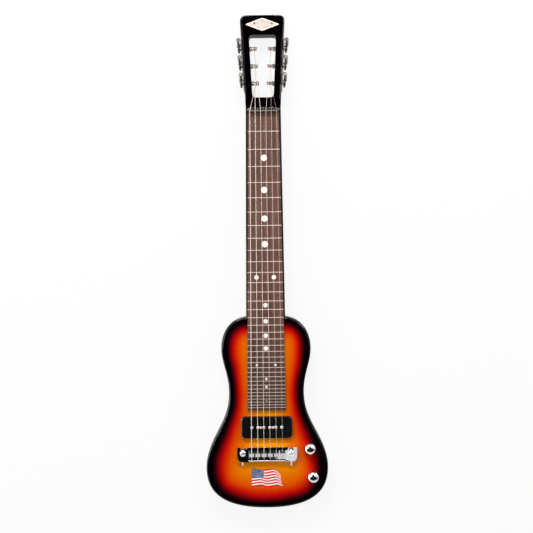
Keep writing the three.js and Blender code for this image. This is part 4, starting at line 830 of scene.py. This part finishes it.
tree, size = size_tree("position_line_rule", LINE_SIZES)
points = add(tree, "GeometryNodeMeshLine", {"Count": size["Count"], "Offset": (0, 0, 0)})[0]
number = plus(add(tree, "GeometryNodeInputIndex")[0], 1.0)
left = power(2.0, over(number, -NOTES_PER_OCTAVE))
run = times(minus(1.0, left), size["Scale Length"])
across = times_plus(run, size["Flare"], size["Nut Half Width"])
spot = vector(0, minus(size["Nut Place"], run), times_plus(size["Strip Height"], -0.5, size["Board Top"]))
spots = add(tree, "GeometryNodeSetPosition", {"Geometry": points, "Position": spot})[0]
strip = add(tree, "GeometryNodeMeshCube", {"Size": (2, 1, 1)})[0]
stretch = vector(across, size["Strip Width"], size["Strip Height"])
close_tree(tree, {"Points": spots, "Instance": strip, "Scale": stretch}, holly)
lines = piece("position_lines", grown("position_lines", tree, LINE_SIZES), holly)
print("position lines:", len(lines.data.polygons) // 6)

# %% Pearl dots
DOT_SIDES = 32
DOT_PROUD = 0.05
DOT_DEPTH = 0.5
SHEEN_STRETCH = (1, 0.4, 1)
SHEEN_SCALE = 0.8

# The notes of each group of dots, how far they lie from the middle, and their radius
DOT_GROUPS = [
    ((3, 5, 7, 9), (0,), 5.4), ((12,), (-14.6, 14.6), 3.8), ((15, 17, 19, 21), (0,), 3.9),
    ((24,), (-15.4, 15.4), 1.9), ((27, 29), (0,), 2.0), ((31, 33), (0,), 0.6),
]


def line_y(note):
    """The place of a note's line along the board, in millimetres."""
    return NUT_Y - SCALE_LENGTH * (1 - 2 ** (-note / NOTES_PER_OCTAVE))


pearl, tree = new_material("mother_of_pearl")
sheen = noise(millimetres(tree, SHEEN_STRETCH), SHEEN_SCALE, Detail=3.0, Distortion=1.5)
nacre = ramp(sheen, (0.3, "E6E2DC"), (0.5, "FBF8F2"), (0.62, "F2EDEA"), (0.75, "FFFFFF"))
principled(tree, {"Base Color": nacre, "Roughness": 0.18, "IOR": 1.55})

DOT_SIZES = {"Sides": DOT_SIDES, "Thickness": DOT_DEPTH * MM}
dot_z = BOARD_TOP + DOT_PROUD - DOT_DEPTH / 2
dot_list = [(x, note, radius) for notes, offsets, radius in DOT_GROUPS for note in notes for x in offsets]
dot_places = [Vector((x, (line_y(note) + line_y(note - 1)) / 2, dot_z)) * MM for x, note, _ in dot_list]
spots = bpy.data.meshes.new("dot_spots")
spots.from_pydata(dot_places, [], [])
spots.attributes.new("radius", "FLOAT", "POINT").data.foreach_set("value", [r * MM for _, _, r in dot_list])
tree, size = size_tree("dot_on_each_point", DOT_SIZES)
disc = {"Vertices": size["Sides"], "Radius": 1.0, "Depth": size["Thickness"]}
disc = add(tree, "GeometryNodeMeshCylinder", disc)[0]
radius = add(tree, "GeometryNodeInputNamedAttribute", {"Name": "radius"}, data_type="FLOAT")[0]
stretch = vector(radius, radius, 1.0)
close_tree(tree, {"Points": size["Geometry"], "Instance": disc, "Scale": stretch}, pearl)
dots = piece("pearl_dots", grown("pearl_dots", tree, DOT_SIZES, spots), pearl)
print("pearl dots:", len(dot_list), "faces:", len(dots.data.polygons))

# %% [markdown]
# ## Flag transfer
#
# Below the bridge the front carries a printed transfer: a common national flag of stars and stripes,
# waving. A transfer is a film a few hundredths of a millimetre thick, so it is a thin sheet laid on
# the lacquer. The sheet's rows and columns follow two edge curves and a ripple between them, its UV
# map keeps the flat flag's own shares, and the material draws the stripes from that map. The stars
# repeat, so a geometry tree makes them, and the same curves carry them onto the waving cloth.

# %% The flag's own map and its curves
FLAG_COLUMNS = 60
FLAG_ROWS = 39
FLAG_LIFT = 0.03
FILM = 0.05
CANTON_WIDE = 0.4
CANTON_HIGH = 7 / 13
STRIPES = 13
LEFT_EDGE = (-26.2, -26.3)
RIGHT_EDGE = (22.4, 26.8)
TOP_EDGE = [(0, -26.4), (0.2, -28.4), (0.41, -29.5), (0.6, -28.3), (0.79, -28.2), (0.9, -31.4), (1, -36.8)]
LOW_EDGE = [(0, -58.4), (0.15, -57.2), (0.31, -56.6), (0.5, -59.2), (0.67, -58.0), (0.85, -57.0), (1, -60.0)]
RIPPLE = 0.7
RIPPLE_WAVES = 1.6
RIPPLE_SLANT = 0.35


def eased(stations, share):
    """A smooth curve through stations of share and height."""
    places, heights = np.array(stations).T
    slopes = np.gradient(heights, places)
    at = np.clip(np.searchsorted(places, share, side="right") - 1, 0, len(places) - 2)
    gap = places[at + 1] - places[at]
    t = (share - places[at]) / gap
    height_part = (1 + 2 * t) * (1 - t) ** 2 * heights[at] + t**2 * (3 - 2 * t) * heights[at + 1]
    slope_part = t * (1 - t) ** 2 * slopes[at] + t**2 * (t - 1) * slopes[at + 1]
    return height_part + gap * slope_part


def waved(across, down):
    """Where a share across and a share down the flat flag lie on the guitar, in millimetres."""
    left = LEFT_EDGE[0] + (LEFT_EDGE[1] - LEFT_EDGE[0]) * down
    right = RIGHT_EDGE[0] + (RIGHT_EDGE[1] - RIGHT_EDGE[0]) * down**3
    phase = 2 * math.pi * (RIPPLE_WAVES * across - RIPPLE_SLANT * down)
    ripple = RIPPLE * np.sin(phase) * np.sin(math.pi * down)
    top, low = eased(TOP_EDGE, across), eased(LOW_EDGE, across)
    return left + (right - left) * across, BRIDGE_Y + top + (low - top) * down + ripple


# %% The printed sheet
def banded(value, count):
    """Zero or one in turn along a value from zero to one."""
    return calculation("MODULO")(calculation("FLOOR")(times(value, float(count))), 2.0)


flag_print, tree = new_material("printed_flag_film")
shares = axes(add(tree, "ShaderNodeTexCoord")["UV"])
stripe = blend(banded(shares["Y"], STRIPES), linear("D2101A"), linear("F3EDE8"))
in_canton = times(below(shares["X"], CANTON_WIDE), below(shares["Y"], CANTON_HIGH))
ink = blend(in_canton, stripe, linear("123F7C"))
principled(tree, {"Base Color": ink, "Roughness": 0.25})

across, down = np.meshgrid(np.linspace(0, 1, FLAG_COLUMNS + 1), np.linspace(0, 1, FLAG_ROWS + 1))
flag_x, flag_y = waved(across.ravel(), down.ravel())
flag = bpy.data.meshes.new("flag_transfer")
row = FLAG_COLUMNS + 1
faces = [(r * row + c, (r + 1) * row + c, (r + 1) * row + c + 1, r * row + c + 1)
         for r in range(FLAG_ROWS) for c in range(FLAG_COLUMNS)]
height = BODY_TOP + FLAG_LIFT
flag.from_pydata([Vector((x, y, height)) * MM for x, y in zip(flag_x, flag_y)], [], faces)
uv = flag.uv_layers.new(name="flat_flag")
flat_shares = np.stack([across.ravel(), down.ravel()], 1)
corners = np.zeros(len(flag.loops), int)
flag.loops.foreach_get("vertex_index", corners)
uv.data.foreach_set("uv", flat_shares[corners].ravel())


def thickened(mesh, name, thickness):
    """The sheet as a closed film, its lower face where the sheet was."""
    holder = placed(name, mesh)
    film = holder.modifiers.new("film", "SOLIDIFY")
    film.thickness = thickness * MM
    film.offset = 1
    return baked(holder)


flag_piece = piece("flag_transfer", thickened(flag, "flag_sheet", FILM), flag_print)
print("flag faces:", len(flag_piece.data.polygons))

# %% Stars
STAR_ROWS = 9
STAR_COLUMNS = 11
STAR_SHARE = 0.033
STAR_INNER_SHARE = 0.42
STAR_POINTS = 5
SPECK_SCALE = 2.0
STAR_SIZES = {"Radius": STAR_SHARE, "Inner": STAR_SHARE * STAR_INNER_SHARE}

star_ink, tree = new_material("printed_star_ink")
white = ramp(noise(millimetres(tree), SPECK_SCALE), (0.3, "DCE3EA"), (0.7, "FFFFFF"))
principled(tree, {"Base Color": white, "Roughness": 0.3})

ranks = [(j, j / (STAR_ROWS + 1) * CANTON_HIGH) for j in range(1, STAR_ROWS + 1)]
files = [(i, i / (STAR_COLUMNS + 1) * CANTON_WIDE) for i in range(1, STAR_COLUMNS + 1)]
star_places = [(x, y, 0) for j, y in ranks for i, x in files if (i + j) % 2 == 0]
spots = bpy.data.meshes.new("star_spots")
spots.from_pydata(star_places, [], [])
tree, size = size_tree("star_on_each_point", STAR_SIZES)
star = {"Points": STAR_POINTS, "Inner Radius": size["Inner"], "Outer Radius": size["Radius"]}
filled = add(tree, "GeometryNodeFillCurve", {0: add(tree, "GeometryNodeCurveStar", star)[0]})[0]
close_tree(tree, {"Points": size["Geometry"], "Instance": filled}, star_ink)
stars = grown("flag_stars", tree, STAR_SIZES, spots)
flat_stars = np.array([v.co for v in stars.vertices])
star_x, star_y = waved(flat_stars[:, 0], flat_stars[:, 1])
for corner, x, y in zip(stars.vertices, star_x, star_y):
    corner.co = Vector((x, y, BODY_TOP + FLAG_LIFT + FILM)) * MM
piece("flag_stars", thickened(stars, "star_sheet", FILM / 2), star_ink)
print("flag stars:", len(star_places))

# %% [markdown]
# ## Turned metal parts
#
# The knobs, the stud heads and the screws are turned on a lathe, plated and polished. A low dome shows
# the whole studio, and in steps of a few faces its reflection would break up. So the parts that the
# camera sees are spun again with a fine profile, around the same axes and to the same heights as in
# the frame.

# %% Spinning a profile
SPIN_SIDES = 64
DOME_STEPS = 10
SPIN_GAP = 0.001


def middle(node):
    """The middle of a frame node's box seen from above, in millimetres."""
    low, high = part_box(node)
    return (low[0] + high[0]) / 2 / MM, (low[1] + high[1]) / 2 / MM


def lathe(name, profile, place, sides=SPIN_SIDES):
    """Spins a profile of radius and height, from its low end on the axis to its top on the axis."""
    shape = bmesh.new()
    x, y = place
    rings = []
    for radius, height in profile:
        if radius == 0:
            rings.append([shape.verts.new(Vector((x, y, height)) * MM)])
            continue
        turns = [2 * math.pi * side / sides for side in range(sides)]
        ring = [Vector((x + radius * math.cos(turn), y + radius * math.sin(turn), height)) for turn in turns]
        rings.append([shape.verts.new(corner * MM) for corner in ring])
    for low, high in zip(rings, rings[1:]):
        for side in range(sides):
            beside = (side + 1) % sides
            pairs = ((low, side), (low, beside), (high, beside), (high, side))
            corners = [ring[spot % len(ring)] for ring, spot in pairs]
            shape.faces.new(list(dict.fromkeys(corners)))
    bmesh.ops.remove_doubles(shape, verts=shape.verts, dist=SPIN_GAP * MM)
    bmesh.ops.recalc_face_normals(shape, faces=shape.faces)
    for face in shape.faces:
        face.smooth = True
    return finished(shape, name)


def dome(radius, high, edge_tilt, flatness):
    """Points of a dome from its rim to its crown, as steep as the tilt at the rim and flatter inside."""
    shares = np.linspace(0, 1, DOME_STEPS + 1)
    slopes = np.tan(edge_tilt * shares**flatness)
    drops = np.concatenate([[0], np.cumsum((slopes[1:] + slopes[:-1]) / 2 * radius / DOME_STEPS)])
    return [(radius * share, high - drop) for share, drop in zip(shares[::-1], drops[::-1])]


# %% Knobs
KNOB_RADIUS = 9.4
KNOB_LOW = 41.0
KNOB_TOP = 55.0
KNOB_EDGE_TILT = math.radians(60)
KNOB_FLATNESS = 2.1
KNOB_SKIRT = 0.5
KNOB_HOLLOW = 7.4
KNOB_HOLLOW_TOP = 45.0

for control in ("volume", "tone"):
    place = middle(f"knob_{control}")
    inside = [(0, KNOB_HOLLOW_TOP), (KNOB_HOLLOW, KNOB_HOLLOW_TOP), (KNOB_HOLLOW, KNOB_LOW)]
    outside = [(KNOB_RADIUS, KNOB_LOW), (KNOB_RADIUS, KNOB_LOW + KNOB_SKIRT)]
    crown = dome(KNOB_RADIUS - KNOB_SKIRT, KNOB_TOP, KNOB_EDGE_TILT, KNOB_FLATNESS)
    mesh = lathe(f"dome_knob_{control}", inside + outside + crown, place)
    knob = piece(f"dome_knob_{control}", mesh, chrome, f"{control}_control", [f"knob_{control}"])
print("knob faces:", len(knob.data.polygons))

# %% Screw and stud heads
HEAD_TILT = math.radians(38)
HEAD_SIDES = 40
HEAD_FLATNESS = 1.2
SLOT_SHARE = 0.2
SLOT_DEPTH_SHARE = 0.5
SLOT_REACH = 3


def head_mesh(name, place, radius, low, high, tilt=HEAD_TILT):
    """A domed head with a screwdriver slot across it."""
    profile = [(0, low), (radius, low)] + dome(radius, high, tilt, HEAD_FLATNESS)
    holder = placed(name, lathe(name, profile, place, HEAD_SIDES))
    width, depth = 2 * radius * SLOT_SHARE, (high - low) * SLOT_DEPTH_SHARE
    box = bmesh.new()
    bmesh.ops.create_cube(box, size=1)
    bmesh.ops.scale(box, vec=Vector((SLOT_REACH * radius, width, 2 * depth)) * MM, verts=box.verts)
    bmesh.ops.translate(box, vec=Vector((*place, high)) * MM, verts=box.verts)
    cutter = placed(name + "_slot", finished(box, name + "_slot"))
    slot = holder.modifiers.new("slot", "BOOLEAN")
    slot.operation = "DIFFERENCE"
    slot.object = cutter
    mesh = baked(holder)
    bpy.data.objects.remove(cutter)
    return mesh


def with_new_top(node, low, top_mesh):
    """A frame node's part below a height, closed there, with another mesh on it."""
    lower = merged_copy(node)
    lower.transform(nodes[node].matrix_world)
    geometry = lower.verts[:] + lower.edges[:] + lower.faces[:]
    level = {"plane_co": Vector((0, 0, low * MM)), "plane_no": (0, 0, 1)}
    sliced = bmesh.ops.bisect_plane(lower, geom=geometry, clear_outer=True, **level)
    rim = [part for part in sliced["geom_cut"] if isinstance(part, bmesh.types.BMEdge)]
    bmesh.ops.triangle_fill(lower, use_beauty=True, edges=rim)
    bmesh.ops.recalc_face_normals(lower, faces=lower.faces)
    lower.from_mesh(top_mesh)
    return smoothed(finished(lower, node))


# Radius, low end, top and metal of each head
HEADS = {
    "bridge_stud": (4.9, 49.9, 53.1, chrome),
    "nut_screw": (2.2, 44.5, 45.5, aged_screw),
    "pickup_screw": (2.0, 48.3, 49.5, bright_steel),
}
for start, (radius, low, high, metal) in HEADS.items():
    for side in ("bass", "treble"):
        node = f"{start}_{side}"
        head = head_mesh(f"{node}_head", middle(node), radius, low, high)
        piece(f"domed_{node}", with_new_top(node, low, head), metal, stands_for=[node])
print("domed heads:", 2 * len(HEADS))

# %% [markdown]
# ## Pole screws
#
# Six screws run through the coil, one under each string, and a player turns them to even out the
# strings. They are alike but for the way their slots point, so a geometry tree sets one head at each
# place along the row and turns it by a seeded random angle. They stay on the keeper bar of the frame.

# %% A row of heads on the keeper bar
POLE_SIZES = {
    "Count": 6,
    "Pitch": 10.0 * MM,
    "First Place": -25.0 * MM,
    "Station": middle("pickup_pole_screws")[1] * MM,
    "Most Turn": math.pi,
    "Seed": 5,
}
POLE_RADIUS = 2.5
POLE_LOW = 47.6
POLE_TOP = 48.9

tree, size = size_tree("row_of_pole_heads", POLE_SIZES)
first = vector(size["First Place"], size["Station"])
row = {"Count": size["Count"], "Start Location": first, "Offset": vector(size["Pitch"])}
line = add(tree, "GeometryNodeMeshLine", row)[0]
span = {"Max": size["Most Turn"], "Seed": size["Seed"]}
turned = vector(0, 0, add(tree, "FunctionNodeRandomValue", span, data_type="FLOAT")[1])
close_tree(tree, {"Points": line, "Instance": size["Geometry"], "Rotation": turned}, bright_steel)
one_head = head_mesh("pole_head", (0, 0), POLE_RADIUS, POLE_LOW, POLE_TOP)
pole_heads = grown("pole_heads", tree, POLE_SIZES, one_head)
pole_mesh = with_new_top("pickup_pole_screws", POLE_LOW, pole_heads)
pole_piece = piece("pole_screws", pole_mesh, bright_steel, stands_for=["pickup_pole_screws"])
print("pole screw faces:", len(pole_piece.data.polygons))

# %% [markdown]
# ## Edges that have been eased
#
# Cast and moulded parts have no knife edges: the buffing wheel and the mould leave a small round, and
# that round is what draws the bright line along a chrome bar. The frame's parts end in sharp corners.
# Their upper edges are rounded here by a fraction of a millimetre, and the places stay as they were.

# %% Round the upper edges
EASED_STEPS = 3
ROUND_PROFILE = 0.5
UP_LEAST = 0.9
SIDE_MOST = 0.5
EASED = {
    "bridge_bar": (1.1, chrome),
    "nut": (0.5, nut_chrome),
    "pickup_cover": (1.0, black_abs),
    "jack_plate": (0.3, chrome),
}


def eased_mesh(node, width):
    """A copy of a frame node with the edges of its upward faces rounded over."""
    mesh = merged_copy(node)
    mesh.transform(nodes[node].matrix_world)
    rims = []
    for edge in mesh.edges:
        if len(edge.link_faces) != 2:
            continue
        ups = sorted(face.normal.z for face in edge.link_faces)
        if ups[1] > UP_LEAST and abs(ups[0]) < SIDE_MOST and edge.is_convex:
            rims.append(edge)
    rounding = {"segments": EASED_STEPS, "profile": ROUND_PROFILE, "affect": "EDGES", "clamp_overlap": True}
    bmesh.ops.bevel(mesh, geom=rims, offset=width * MM, **rounding)
    return flat_kept(smoothed(finished(mesh, f"eased_{node}"))), len(rims)


for node, (width, material) in EASED.items():
    mesh, rims = eased_mesh(node, width)
    piece(f"eased_{node}", mesh, material, stands_for=[node])
    print("eased", node, "edges:", rims, "faces:", len(mesh.polygons))

# %% Saddles
SADDLE_EASE = 0.45
for number in range(1, 7):
    node = f"saddle_{number}"
    mesh, rims = eased_mesh(node, SADDLE_EASE)
    piece(f"eased_{node}", mesh, saddle_chrome, node, [node])
print("eased saddles, edges on the last:", rims)

# %% [markdown]
# ## Pins in the nameplate
#
# Two small nails with round heads hold the plate on the headstock. They are spun like the screws,
# but without a slot, and their dull heads look dark against the pale panel.

# %% Two pins
PIN_RADIUS = 1.5
PIN_LOW = 32.9
PIN_TOP = 33.8
PIN_SIDES = 24
PIN_PLACES = [(-13.5, 401.7), (16.1, 401.7)]

pins = bmesh.new()
for place in PIN_PLACES:
    profile = [(0, PIN_LOW), (PIN_RADIUS, PIN_LOW)] + dome(PIN_RADIUS, PIN_TOP, HEAD_TILT, HEAD_FLATNESS)
    pins.from_mesh(lathe("pin", profile, place, PIN_SIDES))
pin_mesh = finished(pins, "nameplate_pins")
piece("nameplate_pins", pin_mesh, pin_iron)
print("pin faces:", len(pin_mesh.polygons))

# %% [markdown]
# ## Screws of the rear cover and the jack plate
#
# Four screws hold the cover of the control cavity and two hold the jack plate. They could be turned
# into the wood under both plates, but only their heads are seen, so the heads alone are made here:
# flat domes with a slot, laid on the plates of the frame and turned each a little further than the last.

# %% Heads on the two plates
PLATE_SCREW_TILT = math.radians(12)
PLATE_SCREW_SINK = 0.5
PLATE_SCREW_STEP = math.radians(50)
COVER_SCREW_RADIUS = 1.9
COVER_SCREW_RISE = 0.22
COVER_SCREW_IN = 5.25
JACK_SCREW_RADIUS = 2.0
JACK_SCREW_RISE = 0.9
JACK_SCREW_IN = 4.2


def plate_screws(name, radius, rise, places, facing, material, slot):
    """Screw heads at places in millimetres, turned from upright by the facing, as one piece."""
    heads = bmesh.new()
    for number, place in enumerate(places):
        head = head_mesh("plate_screw", (0, 0), radius, -PLATE_SCREW_SINK, rise, PLATE_SCREW_TILT)
        turned = Matrix.Rotation(number * PLATE_SCREW_STEP, 4, "Z")
        head.transform(Matrix.Translation(Vector(place) * MM) @ facing @ turned)
        heads.from_mesh(head)
    piece(name, smoothed(finished(heads, name)), material)


low, high = (corner / MM for corner in map(Vector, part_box("control_cover")))
columns = (low.x + COVER_SCREW_IN, high.x - COVER_SCREW_IN)
rows = (low.y + COVER_SCREW_IN, high.y - COVER_SCREW_IN)
cover_places = [(x, y, low.z) for x in columns for y in rows]
face_down = Matrix.Rotation(math.pi, 4, "X")
cover_head = (COVER_SCREW_RADIUS, COVER_SCREW_RISE)
plate_screws("cover_screw_heads", *cover_head, cover_places, face_down, bright_steel, "steel")

low, high = (corner / MM for corner in map(Vector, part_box("jack_plate")))
rows = (low.y + JACK_SCREW_IN, high.y - JACK_SCREW_IN)
jack_places = [(high.x, y, (low.z + high.z) / 2) for y in rows]
face_out = Matrix.Rotation(math.pi / 2, 4, "Y")
jack_head = (JACK_SCREW_RADIUS, JACK_SCREW_RISE)
plate_screws("jack_screw_heads", *jack_head, jack_places, face_out, chrome, "chrome")
print("screw heads on the plates:", len(cover_places) + len(jack_places))
